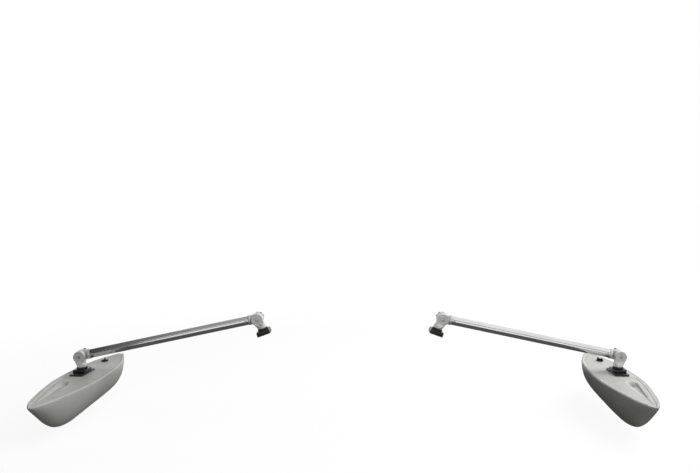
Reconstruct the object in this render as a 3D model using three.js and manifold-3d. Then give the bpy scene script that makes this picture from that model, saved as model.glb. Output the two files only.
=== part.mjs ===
// A pair of outriggers: two tubular arms, each on a stem that stands in a base mount, with a hollow
// moulded float hung from a second, equal stem and mount at the arm's outer end.
// Millimetres. +X points to the port float, +Y aft, +Z up. The origin lies midway between the seats
// of the two base mounts. Each side is built with x outboard, and the starboard side is mirrored.
import * as THREE from 'three';
import { mergeVertices } from 'three/addons/utils/BufferGeometryUtils.js';
import Module from 'manifold-3d';

const wasm = await Module();
wasm.setup();

// Overall arrangement
const seatSpacing = 713;
const baseSeatTilt = THREE.MathUtils.degToRad(20);
const armDrop = THREE.MathUtils.degToRad(12);
const armLength = 762;
const portToe = THREE.MathUtils.degToRad(-1.5);
const starboardToe = THREE.MathUtils.degToRad(5.5);

// Clearances: between pieces that seat on or turn in each other, round a bolt or screw in its hole,
// and how far a cut runs past its piece
const seatGap = 0.3;
const holeClearance = 0.5;
const overrun = 2;

// Mount plates and the socket block on each
const basePlateWidth = 58;
const basePlateLength = 62;
const floatPlateWidth = 60;
const floatPlateLength = 110;
const plateThickness = 6;
const plateCornerRadius = 8;
const plateBevel = 1.2;
const socketWidth = 57;
const socketHeight = 12;
const socketCornerRadius = 7;
const socketBevel = 1.6;
const bossHeight = 6;
const bossWall = 2.2;

// Lock ring, screwed on the socket's boss over the stem's flange
const ringHeight = 8;
const ringWall = 3.6;
const ringLip = 2;
const ringRibCount = 20;
const ringRibDepth = 1.2;

// Stem: spigot in the socket, round foot, and the lug that carries the pivot
const spigotRadius = 13;
const spigotFlange = 1.5;
const neckLength = 42;
const footRadius = 19;
const footHeight = 7;
const footDomeHeight = 6;
const footDomeRadius = 11;
const lugRadius = 24.5;
const lugThickness = 22;
const lugBevel = 1.8;
const lugTaper = THREE.MathUtils.degToRad(35);
const neckHalfWidth = 17;
const neckReach = 32;

// Toothed ring between the two lugs, fixed on the arm's lug: one tooth for each 24 degrees
const toothCount = 15;
const toothRingRadius = 22.5;
const toothRingThickness = 2.4;
const toothDepth = 2.2;

// Arm fitting: lug, shoulder and the plug in the tube
const shoulderHalfHeight = 18.5;
const shoulderReach = 34;
const tubeSetback = 40;
const stopRadius = 21;
const plugLength = 38;

// Arm tube and the screw that holds it on each plug
const tubeRadius = 19.05;
const tubeWall = 2;
const screwSetback = 50;
const tubeScrewRadius = 2.4;
const tubeScrewHeadRadius = 4.4;
const tubeScrewHeadHeight = 2.4;
const tubeScrewDepth = 9;

// Pivot bolt and its knob
const boltRadius = 4;
const boltHeadRadius = 6.5;
const boltHeadHeight = 4;
const boltHeadSink = 0.4;
const boltHeadDome = 0.8;
const boltGrip = 15;
const knobRadius = 24;
const knobLobeCount = 8;
const knobLobeDepth = 2.6;
const knobPointsPerLobe = 4;
const knobHubRadius = 12;
const knobHubHeight = 3;
const knobHeight = 18;
const knobBevel = 2.4;

// Socket screws: in a base mount they end just above the seat, on the float they go on into the deck
const socketScrewRadius = 2.5;
const socketScrewHeadRadius = 4.5;
const socketScrewHeadHeight = 3.5;
const socketScrewHeadSink = 0.5;
const socketScrewInset = 8;
const baseScrewTip = 0.5;
const deckScrewReach = 16;
const deckScrewBossWall = 3.5;
const deckScrewBossFloor = 3;

// Float: hollow moulded hull, pointed bow, blunt stern, flat deck level with the mount
const floatLength = 742;
const floatHalfBreadth = 91;
const floatDepth = 144;
const floatMountShare = 0.425;
const floatOffset = 25;
const floatWall = 3.6;
const deckEdgeRadius = 6;
const sectionRoundness = 1.82;
const deckBorder = 11;
const panelRun = 4;
const panelDepth = 2;
const panelStart = 66;
const panelRamp = 9;
const scoopStart = 116;
const scoopRamp = 18;
const scoopEnd = 411;
const scoopOuterWidth = 53;
const scoopCrest = 4;
const scoopLeastWidth = 3;
const scoopWallRun = 12;
const scoopDepth = 17;

// Drain plug in the deck
const drainForward = -180;
const drainOutboard = 14;
const drainBoreRadius = 10;
const drainBossWall = 4;
const drainBossDepth = 14;
const drainPlugLength = 11;
const drainFlangeRadius = 15;
const drainFlangeHeight = 3;
const drainFinLength = 26;
const drainFinWidth = 5;
const drainFinHeight = 9;
const drainFinCornerRadius = 2;
const drainFinBevel = 0.8;
const drainFinRoot = 1.5;
const drainNotchRadius = 7;
const drainNotchDepth = 4;
const drainFlangeBevel = 1;
const portPlugTurn = THREE.MathUtils.degToRad(-48);
const starboardPlugTurn = THREE.MathUtils.degToRad(64);
const sealWidth = 2.6;
const sealThickness = 1.6;

// Facet counts
const tubeSegments = 24;
const roundSegments = 18;
const hiddenSegments = 16;
const smallSegments = 8;
const cornerSegments = 2;
const lugSegments = 10;
const skinSideSteps = 6;
const wallSideSteps = 4;
const spanSteps = 2;
const outlineHalvings = 24;
const solidEndRows = 2;

// Float outline, from stern to bow: share of the length, of the half breadth and of the depth
const outlineShares = [
  [0, 0.15, 0.515],
  [0.012, 0.19, 0.6],
  [0.04, 0.28, 0.72],
  [0.1, 0.487, 0.795],
  [0.2, 0.765, 0.86],
  [0.32, 0.917, 0.885],
  [0.43, 0.978, 0.905],
  [0.51, 1, 0.92],
  [0.6, 0.97, 0.957],
  [0.7, 0.85, 0.995],
  [0.78, 0.722, 0.925],
  [0.84, 0.608, 0.765],
  [0.9, 0.476, 0.497],
  [0.95, 0.313, 0.268],
  [0.985, 0.145, 0.11],
  [1, 0.045, 0.036],
];
// Most of the deck's half width that its border, its panel's edge and its scoop may take near the tips
const borderLimitShare = 0.28;
const panelRunLimitShare = 0.14;
const scoopLimitShare = 0.86;
const scoopFloorShare = 0.35;

// A many-sided bore stays clear of the round piece that turns in it when its flats are at that radius
const boreRadius = (radius) => radius / Math.cos(Math.PI / hiddenSegments);

// Sizes that follow from those above
const socketBase = plateThickness + seatGap;
const socketTop = socketBase + socketHeight;
const bossTop = socketTop + bossHeight;
const ringBase = socketTop + seatGap;
const ringTop = ringBase + ringHeight;
const lipBase = ringTop - ringLip;
const lipBoreRadius = boreRadius(spigotRadius + seatGap);
const flangeRadius = spigotRadius + spigotFlange;
const socketBoreRadius = boreRadius(flangeRadius + seatGap);
const bossRadius = socketBoreRadius + bossWall;
const ringBoreRadius = boreRadius(bossRadius + seatGap);
const ringRadius = ringBoreRadius + ringWall;
const footBase = ringTop + seatGap;
const neckCant = armDrop;
const pivotAcross = neckLength * Math.sin(neckCant);
const pivotAbove = ringTop + neckLength * Math.cos(neckCant);
const lugBack = lugThickness / 2;
const toothRingFront = lugBack + seatGap;
const toothRingBack = toothRingFront + toothRingThickness;
const fittingFront = toothRingBack + seatGap;
const fittingBack = fittingFront + lugThickness;
const armOffset = (fittingFront + fittingBack) / 2;
const knobFront = fittingBack + seatGap;
const tubeBoreRadius = tubeRadius - tubeWall;
const plugRadius = tubeBoreRadius - seatGap;
const socketScrewPlace = socketWidth / 2 - socketScrewInset;
const socketScrewTop = socketTop - socketScrewHeadSink;

// Materials
const finish = (color, roughness, metalness) => ({ color, roughness, metalness });
const finishes = {
  polyethylene: finish(0xc9c9c5, 0.45, 0),
  casting: finish(0xc8c9c6, 0.42, 0.85),
  tube: finish(0xb4b7ba, 0.22, 1),
  steel: finish(0xb9bcc0, 0.3, 1),
  blackPlastic: finish(0x1e2022, 0.55, 0),
  nylon: finish(0x303336, 0.6, 0),
  rubber: finish(0x141414, 0.8, 0),
};

function piece(name, geometry, finishName) {
  geometry.computeVertexNormals();
  const mesh = new THREE.Mesh(geometry, new THREE.MeshStandardMaterial(finishes[finishName]));
  mesh.name = name;
  return mesh;
}

// Solids: a closed geometry becomes a solid for joining and cutting, and back again
function solidOf(geometry) {
  const bare = geometry.clone();
  bare.deleteAttribute('normal');
  bare.deleteAttribute('uv');
  const merged = mergeVertices(bare);
  const corners = merged.index.array;
  const triangles = [];
  for (let at = 0; at < corners.length; at += 3) {
    const [a, b, c] = [corners[at], corners[at + 1], corners[at + 2]];
    if (a !== b && b !== c && c !== a) triangles.push(a, b, c);
  }
  const mesh = new wasm.Mesh({
    numProp: 3,
    vertProperties: new Float32Array(merged.attributes.position.array),
    triVerts: new Uint32Array(triangles),
  });
  return new wasm.Manifold(mesh);
}

function geometryOf(solid) {
  const mesh = solid.getMesh();
  const geometry = new THREE.BufferGeometry();
  geometry.setAttribute('position', new THREE.BufferAttribute(mesh.vertProperties, 3));
  geometry.setIndex(new THREE.BufferAttribute(mesh.triVerts, 1));
  return geometry;
}

// A solid of revolution about Z from [radius, height] pairs, outer side going up
function turned(profile, segments = roundSegments) {
  const points = profile.map(([radius, height]) => new THREE.Vector2(radius, height));
  return new THREE.LatheGeometry(points, segments).rotateX(Math.PI / 2);
}

function rod(radius, low, high, segments = smallSegments) {
  return turned([[0, low], [radius, low], [radius, high], [0, high]], segments);
}

// The same about Y, along which the pivots run, and about X, along which the tube runs
function turnedAlongY(profile, segments = roundSegments) {
  return turned(profile, segments).rotateX(-Math.PI / 2);
}

function rodAlongY(radius, low, high, segments = smallSegments) {
  return rod(radius, low, high, segments).rotateX(-Math.PI / 2);
}

function turnedAlongX(profile, segments = roundSegments) {
  return turned(profile, segments).rotateY(Math.PI / 2);
}

// A slab from z = 0 up, with its edges bevelled inside the outline
function slab(shape, height, bevel) {
  const geometry = new THREE.ExtrudeGeometry(shape, {
    depth: height - 2 * bevel,
    bevelEnabled: true,
    bevelThickness: bevel,
    bevelSize: bevel,
    bevelOffset: -bevel,
    bevelSegments: 1,
    curveSegments: cornerSegments,
  });
  return geometry.translate(0, 0, bevel);
}

function roundedRectangle(width, length, radius) {
  const x = width / 2;
  const y = length / 2;
  const shape = new THREE.Shape();
  shape.moveTo(-x + radius, -y);
  shape.lineTo(x - radius, -y);
  shape.absarc(x - radius, -y + radius, radius, -Math.PI / 2, 0);
  shape.lineTo(x, y - radius);
  shape.absarc(x - radius, y - radius, radius, 0, Math.PI / 2);
  shape.lineTo(-x + radius, y);
  shape.absarc(-x + radius, y - radius, radius, Math.PI / 2, Math.PI);
  shape.lineTo(-x, -y + radius);
  shape.absarc(-x + radius, -y + radius, radius, Math.PI, 1.5 * Math.PI);
  return shape;
}

// Mount plate: its lower face is the seat, and the socket screws go through it
function plateGeometry(width, length) {
  let solid = solidOf(slab(roundedRectangle(width, length, plateCornerRadius), plateThickness, plateBevel));
  const hole = rod(socketScrewRadius + holeClearance, -overrun, plateThickness + overrun);
  for (const [x, y] of socketScrewPlaces()) {
    solid = solid.subtract(solidOf(hole.clone().translate(x, y, 0)));
  }
  return geometryOf(solid);
}

function socketScrewPlaces() {
  const away = socketScrewPlace;
  return [[-away, -away], [away, -away], [away, away], [-away, away]];
}

// Socket block with the boss that the lock ring goes on, the stem's bore and four screw recesses
function socketGeometry() {
  const outline = roundedRectangle(socketWidth, socketWidth, socketCornerRadius);
  const block = solidOf(slab(outline, socketHeight, socketBevel).translate(0, 0, socketBase));
  const boss = solidOf(rod(bossRadius, socketBase + socketBevel, bossTop, hiddenSegments));
  const bore = rod(socketBoreRadius, socketBase - overrun, bossTop + overrun, hiddenSegments);
  let solid = block.add(boss).subtract(solidOf(bore));
  const headBase = socketScrewTop - socketScrewHeadHeight - seatGap;
  const recess = [
    [0, socketBase - overrun], [socketScrewRadius + holeClearance, socketBase - overrun],
    [socketScrewRadius + holeClearance, headBase], [socketScrewHeadRadius + holeClearance, headBase],
    [socketScrewHeadRadius + holeClearance, socketTop + overrun], [0, socketTop + overrun],
  ];
  for (const [x, y] of socketScrewPlaces()) {
    solid = solid.subtract(solidOf(turned(recess, smallSegments).translate(x, y, 0)));
  }
  return geometryOf(solid);
}

// Cap screw with its tip at the given height
function socketScrewGeometry(tip) {
  const headBase = socketScrewTop - socketScrewHeadHeight;
  const profile = [
    [0, tip], [socketScrewRadius, tip], [socketScrewRadius, headBase],
    [socketScrewHeadRadius, headBase], [socketScrewHeadRadius, socketScrewTop], [0, socketScrewTop],
  ];
  return turned(profile, smallSegments);
}

// A round outline whose rim waves in and out, the given number of points to a wave
function wavyOutline(outerRadius, depth, waveCount, pointsPerWave) {
  const pointCount = waveCount * pointsPerWave;
  const points = [];
  for (let point = 0; point < pointCount; point += 1) {
    const angle = (point / pointCount) * 2 * Math.PI;
    const radius = outerRadius - depth * (1 - Math.cos(waveCount * angle)) / 2;
    points.push(new THREE.Vector2(radius * Math.cos(angle), radius * Math.sin(angle)));
  }
  return new THREE.Shape(points);
}

// Lock ring: ribbed outside, bored for the boss, with a lip over the stem's flange
function lockRingGeometry() {
  const outline = wavyOutline(ringRadius, ringRibDepth, ringRibCount, 2);
  const ribbed = new THREE.ExtrudeGeometry(outline, { depth: ringHeight, bevelEnabled: false });
  const body = solidOf(ribbed.translate(0, 0, ringBase));
  const bore = [
    [0, ringBase - overrun], [ringBoreRadius, ringBase - overrun], [ringBoreRadius, lipBase],
    [lipBoreRadius, lipBase], [lipBoreRadius, ringTop + overrun], [0, ringTop + overrun],
  ];
  return geometryOf(body.subtract(solidOf(turned(bore, hiddenSegments))));
}

// Lug outline about a pivot at the origin, with a tapering neck that runs down to the given reach
function lugShape(neckEdge, reach) {
  const shape = new THREE.Shape();
  shape.absarc(0, 0, lugRadius, -lugTaper, Math.PI + lugTaper);
  shape.lineTo(-neckEdge, -reach);
  shape.lineTo(neckEdge, -reach);
  return shape;
}

// The outline is drawn in XZ: the slab's thickness then runs along Y
function lugSlab(neckEdge, reach, front) {
  const flat = new THREE.ExtrudeGeometry(lugShape(neckEdge, reach), {
    depth: lugThickness - 2 * lugBevel,
    bevelEnabled: true,
    bevelThickness: lugBevel,
    bevelSize: lugBevel,
    bevelOffset: -lugBevel,
    bevelSegments: 1,
    curveSegments: lugSegments,
  });
  return flat.rotateX(Math.PI / 2).translate(0, front + lugThickness - lugBevel, 0);
}

// Stem in its mount's frame: spigot, round foot and the canted lug that the pivot bolt goes through
function knuckleGeometry() {
  const spigotBase = plateThickness + seatGap;
  const flangeTop = lipBase - seatGap;
  const spigot = [
    [0, spigotBase], [flangeRadius, spigotBase], [flangeRadius, flangeTop],
    [spigotRadius, flangeTop], [spigotRadius, footBase + lugBevel], [0, footBase + lugBevel],
  ];
  const footTop = footBase + footHeight;
  const foot = [
    [0, footBase], [footRadius, footBase], [footRadius, footTop],
    [footDomeRadius, footTop + footDomeHeight], [0, footTop + footDomeHeight],
  ];
  const lug = lugSlab(neckHalfWidth, neckReach, -lugBack);
  lug.rotateY(neckCant).translate(pivotAcross, 0, pivotAbove);
  const headDepth = boltHeadHeight + boltHeadSink + seatGap;
  const boltHole = [
    [0, -lugBack - overrun], [boltHeadRadius + holeClearance, -lugBack - overrun],
    [boltHeadRadius + holeClearance, -lugBack + headDepth],
    [boltRadius + holeClearance, -lugBack + headDepth],
    [boltRadius + holeClearance, lugBack + overrun], [0, lugBack + overrun],
  ];
  const hole = turnedAlongY(boltHole, smallSegments).translate(pivotAcross, 0, pivotAbove);
  const stem = solidOf(turned(spigot, hiddenSegments)).add(solidOf(turned(foot)));
  return geometryOf(stem.add(solidOf(lug)).subtract(solidOf(hole)));
}

// Toothed ring in the pivot's frame
function toothRingGeometry() {
  const outline = wavyOutline(toothRingRadius, toothDepth, toothCount, 2);
  const ring = new THREE.ExtrudeGeometry(outline, { depth: toothRingThickness, bevelEnabled: false });
  ring.rotateX(-Math.PI / 2).translate(0, toothRingFront, 0);
  const hole = rodAlongY(boltRadius + holeClearance, toothRingFront - overrun, toothRingBack + overrun);
  return geometryOf(solidOf(ring).subtract(solidOf(hole)));
}

// Arm fitting in the pivot's frame, the tube running off along +X
function fittingGeometry() {
  const lug = lugSlab(shoulderHalfHeight, shoulderReach, fittingFront).rotateY(-Math.PI / 2);
  const stopBase = shoulderReach - lugBevel * 2;
  const stop = [
    [0, stopBase], [stopRadius - lugBevel, stopBase], [stopRadius, stopBase + lugBevel],
    [stopRadius, tubeSetback - seatGap], [0, tubeSetback - seatGap],
  ];
  const plug = rod(plugRadius, tubeSetback - lugBevel, tubeSetback + plugLength, hiddenSegments);
  const screwHole = rodAlongY(tubeScrewRadius + holeClearance, armOffset - tubeRadius - overrun, armOffset);
  const boltHole = rodAlongY(boltRadius + holeClearance, fittingFront - overrun, fittingBack + overrun);
  const solid = solidOf(lug)
    .add(solidOf(turnedAlongX(stop).translate(0, armOffset, 0)))
    .add(solidOf(plug.rotateY(Math.PI / 2).translate(0, armOffset, 0)))
    .subtract(solidOf(screwHole.translate(screwSetback, 0, 0)))
    .subtract(solidOf(boltHole));
  return geometryOf(solid);
}

function tubeGeometry() {
  const wall = [
    [tubeBoreRadius, tubeSetback], [tubeRadius, tubeSetback], [tubeRadius, armLength - tubeSetback],
    [tubeBoreRadius, armLength - tubeSetback], [tubeBoreRadius, tubeSetback],
  ];
  let solid = solidOf(turnedAlongX(wall, tubeSegments).translate(0, armOffset, 0));
  const hole = rodAlongY(tubeScrewRadius + holeClearance, armOffset - tubeRadius - overrun, armOffset);
  for (const x of [screwSetback, armLength - screwSetback]) {
    solid = solid.subtract(solidOf(hole.clone().translate(x, 0, 0)));
  }
  return geometryOf(solid);
}

// Pan-head screw on the front of the tube, in the pivot's frame
function tubeScrewGeometry() {
  const face = armOffset - tubeRadius - seatGap;
  const crown = tubeScrewHeadHeight / 2;
  const profile = [
    [0, face - tubeScrewHeadHeight], [tubeScrewHeadRadius - crown, face - tubeScrewHeadHeight],
    [tubeScrewHeadRadius, face - tubeScrewHeadHeight + crown], [tubeScrewHeadRadius, face],
    [tubeScrewRadius, face], [tubeScrewRadius, face + tubeScrewDepth], [0, face + tubeScrewDepth],
  ];
  return turnedAlongY(profile, smallSegments).translate(screwSetback, 0, 0);
}

// Pivot bolt: its domed head sunk in the stem's lug, its thread in the knob
function boltGeometry() {
  const top = -lugBack + boltHeadSink;
  const profile = [
    [0, top], [boltHeadRadius - boltHeadDome, top], [boltHeadRadius, top + boltHeadDome],
    [boltHeadRadius, top + boltHeadHeight], [boltRadius, top + boltHeadHeight],
    [boltRadius, knobFront + boltGrip], [0, knobFront + boltGrip],
  ];
  return turnedAlongY(profile, smallSegments);
}

// Lobed knob with a hub that bears on the arm fitting
function knobGeometry() {
  const outline = wavyOutline(knobRadius, knobLobeDepth, knobLobeCount, knobPointsPerLobe);
  const headFront = knobFront + knobHubHeight;
  const head = slab(outline, knobHeight, knobBevel).rotateX(-Math.PI / 2).translate(0, headFront, 0);
  const hub = rodAlongY(knobHubRadius, knobFront, headFront + knobBevel, hiddenSegments);
  const bore = rodAlongY(boltRadius + holeClearance, knobFront - overrun, knobFront + boltGrip + seatGap);
  return geometryOf(solidOf(head).add(solidOf(hub)).subtract(solidOf(bore)));
}

// The float's outline runs smoothly through its knots: share of the length, half breadth, depth
const outlineKnots = outlineShares.map((row) => new THREE.Vector3(...row));
const outlineCurve = new THREE.CatmullRomCurve3(outlineKnots, false, 'centripetal');

// Float rows from stern to bow: on the outline's knots, at equal steps between them, and where the
// deck's panel and scoop begin
function outlineRows(steps) {
  const shares = outlineShares.map(([share]) => share);
  const deckSteps = [panelStart, panelStart + panelRamp, scoopStart, scoopStart + scoopRamp];
  const places = deckSteps.map((forward) => forward / floatLength + floatMountShare);
  for (let knot = 0; knot + 1 < shares.length; knot += 1) {
    for (let step = 0; step < steps; step += 1) {
      places.push(THREE.MathUtils.lerp(shares[knot], shares[knot + 1], step / steps));
    }
  }
  places.push(1);
  return places.sort((first, second) => first - second).map(rowAt);
}

// The outline at a share of the float's length, found by halving the curve's parameter
function rowAt(share) {
  let low = 0;
  let high = 1;
  for (let halving = 0; halving < outlineHalvings; halving += 1) {
    const middle = (low + high) / 2;
    if (outlineCurve.getPoint(middle).x < share) low = middle;
    else high = middle;
  }
  const at = outlineCurve.getPoint((low + high) / 2);
  return {
    forward: (share - floatMountShare) * floatLength,
    breadth: at.y * floatHalfBreadth,
    depth: at.z * floatDepth,
  };
}

const ramp = (value, from, run) => THREE.MathUtils.smoothstep(value, from, from + run);

// One deck row: its points across from inboard to outboard, with the panel and the scoop pressed in
function deckRow(forward, halfWidth) {
  const border = Math.min(deckBorder, halfWidth * borderLimitShare);
  const run = Math.min(panelRun, halfWidth * panelRunLimitShare);
  const panelEdge = halfWidth - border;
  const panelFloor = panelEdge - run;
  const alongScoop = THREE.MathUtils.clamp((scoopEnd - forward) / (scoopEnd - scoopStart), 0, 1);
  const limit = panelFloor * scoopLimitShare;
  const wallTop = Math.min(scoopOuterWidth * alongScoop + scoopWallRun / 2, limit);
  const wallFoot = wallTop - Math.min(scoopWallRun, limit * scoopFloorShare);
  const innerTop = Math.max(Math.min(scoopCrest, wallTop - scoopLeastWidth), -limit);
  const floorInner = THREE.MathUtils.lerp(wallFoot, innerTop, scoopFloorShare);
  const panel = -panelDepth * ramp(forward, panelStart, panelRamp);
  const scoop = panel - scoopDepth * alongScoop * ramp(forward, scoopStart, scoopRamp);
  return [
    [-halfWidth, 0], [-panelEdge, 0], [-panelFloor, panel], [innerTop, panel],
    [floorInner, scoop], [wallFoot, scoop], [wallTop, panel],
    [panelFloor, panel], [panelEdge, 0], [halfWidth, 0],
  ];
}

// Closed section of the float at one row, inset from the outer skin by a wall
function floatSection(row, inset, sideSteps) {
  const radius = Math.min(deckEdgeRadius, row.breadth / 2, row.depth / 2);
  const breadth = row.breadth - inset;
  const depth = row.depth - radius - inset;
  const deck = deckRow(row.forward, row.breadth - radius);
  const narrow = (row.breadth - radius - inset / 2) / (row.breadth - radius);
  const points = deck.map(([across, height]) => [across * narrow, height - inset]);
  const cornerShift = radius * (1 - Math.SQRT1_2);
  const corner = [row.breadth - cornerShift - inset, -cornerShift - inset];
  const side = [];
  for (let step = 0; step <= sideSteps; step += 1) {
    const turn = (step / sideSteps) * (Math.PI / 2);
    const out = breadth * Math.pow(Math.max(Math.cos(turn), 0), 2 / sectionRoundness);
    const down = depth * Math.pow(Math.sin(turn), 2 / sectionRoundness);
    side.push([out, -Math.max(radius, inset + cornerShift) - down]);
  }
  side[sideSteps][0] = 0;
  const outer = [corner, ...side];
  const inner = outer.slice(0, -1).reverse().map(([out, height]) => [-out, height]);
  return [...points, ...outer, ...inner].map(
    ([across, height]) => new THREE.Vector3(across - floatOffset, -row.forward, height),
  );
}

function middleOf(section) {
  const sum = new THREE.Vector3();
  section.forEach((point) => sum.add(point));
  return sum.divideScalar(section.length);
}

// A closed skin over equal closed sections, with a fan over each end
function skin(sections) {
  const size = sections[0].length;
  const points = sections.flat();
  const faces = [];
  for (let row = 0; row + 1 < sections.length; row += 1) {
    for (let at = 0; at < size; at += 1) {
      const next = (at + 1) % size;
      const [a, b] = [row * size + at, row * size + next];
      const [c, d] = [a + size, b + size];
      faces.push(a, c, b, b, c, d);
    }
  }
  const last = (sections.length - 1) * size;
  points.push(middleOf(sections[0]), middleOf(sections[sections.length - 1]));
  for (let at = 0; at < size; at += 1) {
    const next = (at + 1) % size;
    faces.push(points.length - 2, at, next);
    faces.push(points.length - 1, last + next, last + at);
  }
  const geometry = new THREE.BufferGeometry().setFromPoints(points);
  geometry.setIndex(faces);
  return geometry;
}

const drainX = drainOutboard - floatOffset;
const drainY = -drainForward;

// Hollow hull: outer skin less the inside, with bosses under the deck for the screws and the drain
function floatHullGeometry() {
  const outerRows = outlineRows(spanSteps);
  const innerRows = outlineRows(1).slice(solidEndRows, -solidEndRows);
  const outer = solidOf(skin(outerRows.map((row) => floatSection(row, 0, skinSideSteps))));
  const inside = solidOf(skin(innerRows.map((row) => floatSection(row, floatWall, wallSideSteps))));
  let shell = outer.subtract(inside);
  const bossLow = -drainBossDepth;
  const bossRoot = -floatWall / 2;
  const drainBoss = rod(drainBoreRadius + drainBossWall, bossLow, bossRoot, hiddenSegments);
  shell = shell.add(solidOf(drainBoss.translate(drainX, drainY, 0)));
  const screwBossRadius = socketScrewRadius + deckScrewBossWall;
  const screwBoss = rod(screwBossRadius, -deckScrewReach - deckScrewBossFloor, bossRoot);
  for (const [x, y] of socketScrewPlaces()) {
    shell = shell.add(solidOf(screwBoss.clone().translate(x, y, 0)));
  }
  const drainBore = rod(drainBoreRadius + seatGap, bossLow - overrun, overrun, hiddenSegments);
  shell = shell.subtract(solidOf(drainBore.translate(drainX, drainY, 0)));
  const screwBore = rod(socketScrewRadius + holeClearance, -deckScrewReach, overrun);
  for (const [x, y] of socketScrewPlaces()) {
    shell = shell.subtract(solidOf(screwBore.clone().translate(x, y, 0)));
  }
  return geometryOf(shell);
}

// Flat seal round the drain, on the deck
function drainSealGeometry() {
  const inner = drainBoreRadius + seatGap;
  const outer = inner + sealWidth;
  const low = seatGap;
  const high = low + sealThickness;
  return turned([[inner, low], [outer, low], [outer, high], [inner, high], [inner, low]], hiddenSegments);
}

// Drain plug: body in the bore, flange on the seal and a finger fin with a notch in its top
function drainPlugGeometry() {
  const flangeBase = sealThickness + 2 * seatGap;
  const flangeTop = flangeBase + drainFlangeHeight;
  const bodyRadius = drainBoreRadius - seatGap;
  const body = [
    [0, -drainPlugLength], [bodyRadius, -drainPlugLength], [bodyRadius, flangeBase],
    [drainFlangeRadius, flangeBase], [drainFlangeRadius, flangeTop - drainFlangeBevel],
    [drainFlangeRadius - drainFlangeBevel, flangeTop], [0, flangeTop],
  ];
  const finOutline = roundedRectangle(drainFinLength, drainFinWidth, drainFinCornerRadius);
  const fin = slab(finOutline, drainFinHeight + drainFinRoot, drainFinBevel);
  const notch = rodAlongY(drainNotchRadius, -drainFinWidth, drainFinWidth, hiddenSegments);
  notch.translate(0, 0, flangeTop + drainFinHeight + drainNotchRadius - drainNotchDepth);
  const grip = solidOf(fin.translate(0, 0, flangeTop - drainFinRoot)).subtract(solidOf(notch));
  return geometryOf(solidOf(turned(body, hiddenSegments)).add(grip));
}

// The mount's own pieces, in its frame: x towards the pivot, z square to the seat
function mountPieces(prefix, isBase) {
  const group = new THREE.Group();
  const tip = isBase ? baseScrewTip : -deckScrewReach;
  const width = isBase ? basePlateWidth : floatPlateWidth;
  const length = isBase ? basePlateLength : floatPlateLength;
  group.add(piece(`${prefix}_plate`, plateGeometry(width, length), 'blackPlastic'));
  group.add(piece(`${prefix}_socket`, socketGeometry(), 'blackPlastic'));
  socketScrewPlaces().forEach(([x, y], index) => {
    const screw = piece(`${prefix}_screw_${index + 1}`, socketScrewGeometry(tip), 'steel');
    screw.position.set(x, y, 0);
    group.add(screw);
  });
  return group;
}

// What sits in a mount but turns on its own: the lock ring, the stem and the stem's bolt and knob
function stemPieces(mountPrefix, pivotPrefix) {
  const group = new THREE.Group();
  group.add(piece(`${mountPrefix}_lock_ring`, lockRingGeometry(), 'blackPlastic'));
  group.add(piece(`${mountPrefix}_knuckle`, knuckleGeometry(), 'casting'));
  const pivot = new THREE.Group();
  pivot.position.set(pivotAcross, 0, pivotAbove);
  pivot.add(piece(`${pivotPrefix}_pivot_bolt`, boltGeometry(), 'steel'));
  pivot.add(piece(`${pivotPrefix}_knob`, knobGeometry(), 'blackPlastic'));
  group.add(pivot);
  return group;
}

// One end of the arm, in its pivot's frame with the tube towards +X
function armEndPieces(prefix) {
  const group = new THREE.Group();
  group.add(piece(`${prefix}_fitting`, fittingGeometry(), 'casting'));
  group.add(piece(`${prefix}_tooth_ring`, toothRingGeometry(), 'nylon'));
  group.add(piece(`${prefix}_tube_screw`, tubeScrewGeometry(), 'steel'));
  return group;
}

// The whole arm, from its inner pivot: the outer end is the inner one turned about
function armPieces(side) {
  const group = new THREE.Group();
  group.add(armEndPieces(`${side}_inner`));
  group.add(piece(`${side}_arm_tube`, tubeGeometry(), 'tube'));
  const outerEnd = armEndPieces(`${side}_outer`);
  outerEnd.rotation.y = Math.PI;
  outerEnd.position.x = armLength;
  group.add(outerEnd);
  return group;
}

// The float with its mount on it, in that mount's frame: the deck lies a seat's gap below the plate
function floatPieces(side, plugTurn) {
  const group = mountPieces(`${side}_float`, false);
  const hull = piece(`${side}_float_hull`, floatHullGeometry(), 'polyethylene');
  const plug = piece(`${side}_drain_plug`, drainPlugGeometry(), 'blackPlastic');
  const seal = piece(`${side}_drain_seal`, drainSealGeometry(), 'rubber');
  hull.position.set(0, 0, -seatGap);
  plug.position.set(drainX, drainY, -seatGap);
  plug.rotation.z = plugTurn;
  seal.position.set(drainX, drainY, -seatGap);
  return group.add(hull, plug, seal);
}

// One outrigger, x outboard: base mount, arm at its lowest notch, and the float, which sits level
function outrigger(side, toe, plugTurn) {
  const group = new THREE.Group();
  const seat = new THREE.Vector3(seatSpacing / 2, 0, 0);
  const baseMount = new THREE.Group();
  baseMount.position.copy(seat);
  baseMount.rotation.y = baseSeatTilt;
  baseMount.add(mountPieces(`${side}_base`, true));
  baseMount.add(stemPieces(`${side}_base`, `${side}_inner`));
  group.add(baseMount);

  const pivotFromSeat = new THREE.Vector3(pivotAcross, 0, pivotAbove);
  const innerPivot = pivotFromSeat.clone().applyEuler(baseMount.rotation).add(seat);
  const arm = armPieces(side);
  arm.position.copy(innerPivot);
  arm.rotation.y = armDrop;
  group.add(arm);

  const outerPivot = new THREE.Vector3(armLength, 0, 0).applyEuler(arm.rotation).add(innerPivot);
  const floatSeat = outerPivot.clone().sub(pivotFromSeat);
  const floatStem = stemPieces(`${side}_float`, `${side}_outer`);
  floatStem.position.copy(floatSeat);
  group.add(floatStem);
  const float = floatPieces(side, plugTurn);
  float.position.copy(floatSeat);
  float.rotation.z = toe;
  group.add(float);
  return group;
}

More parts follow.
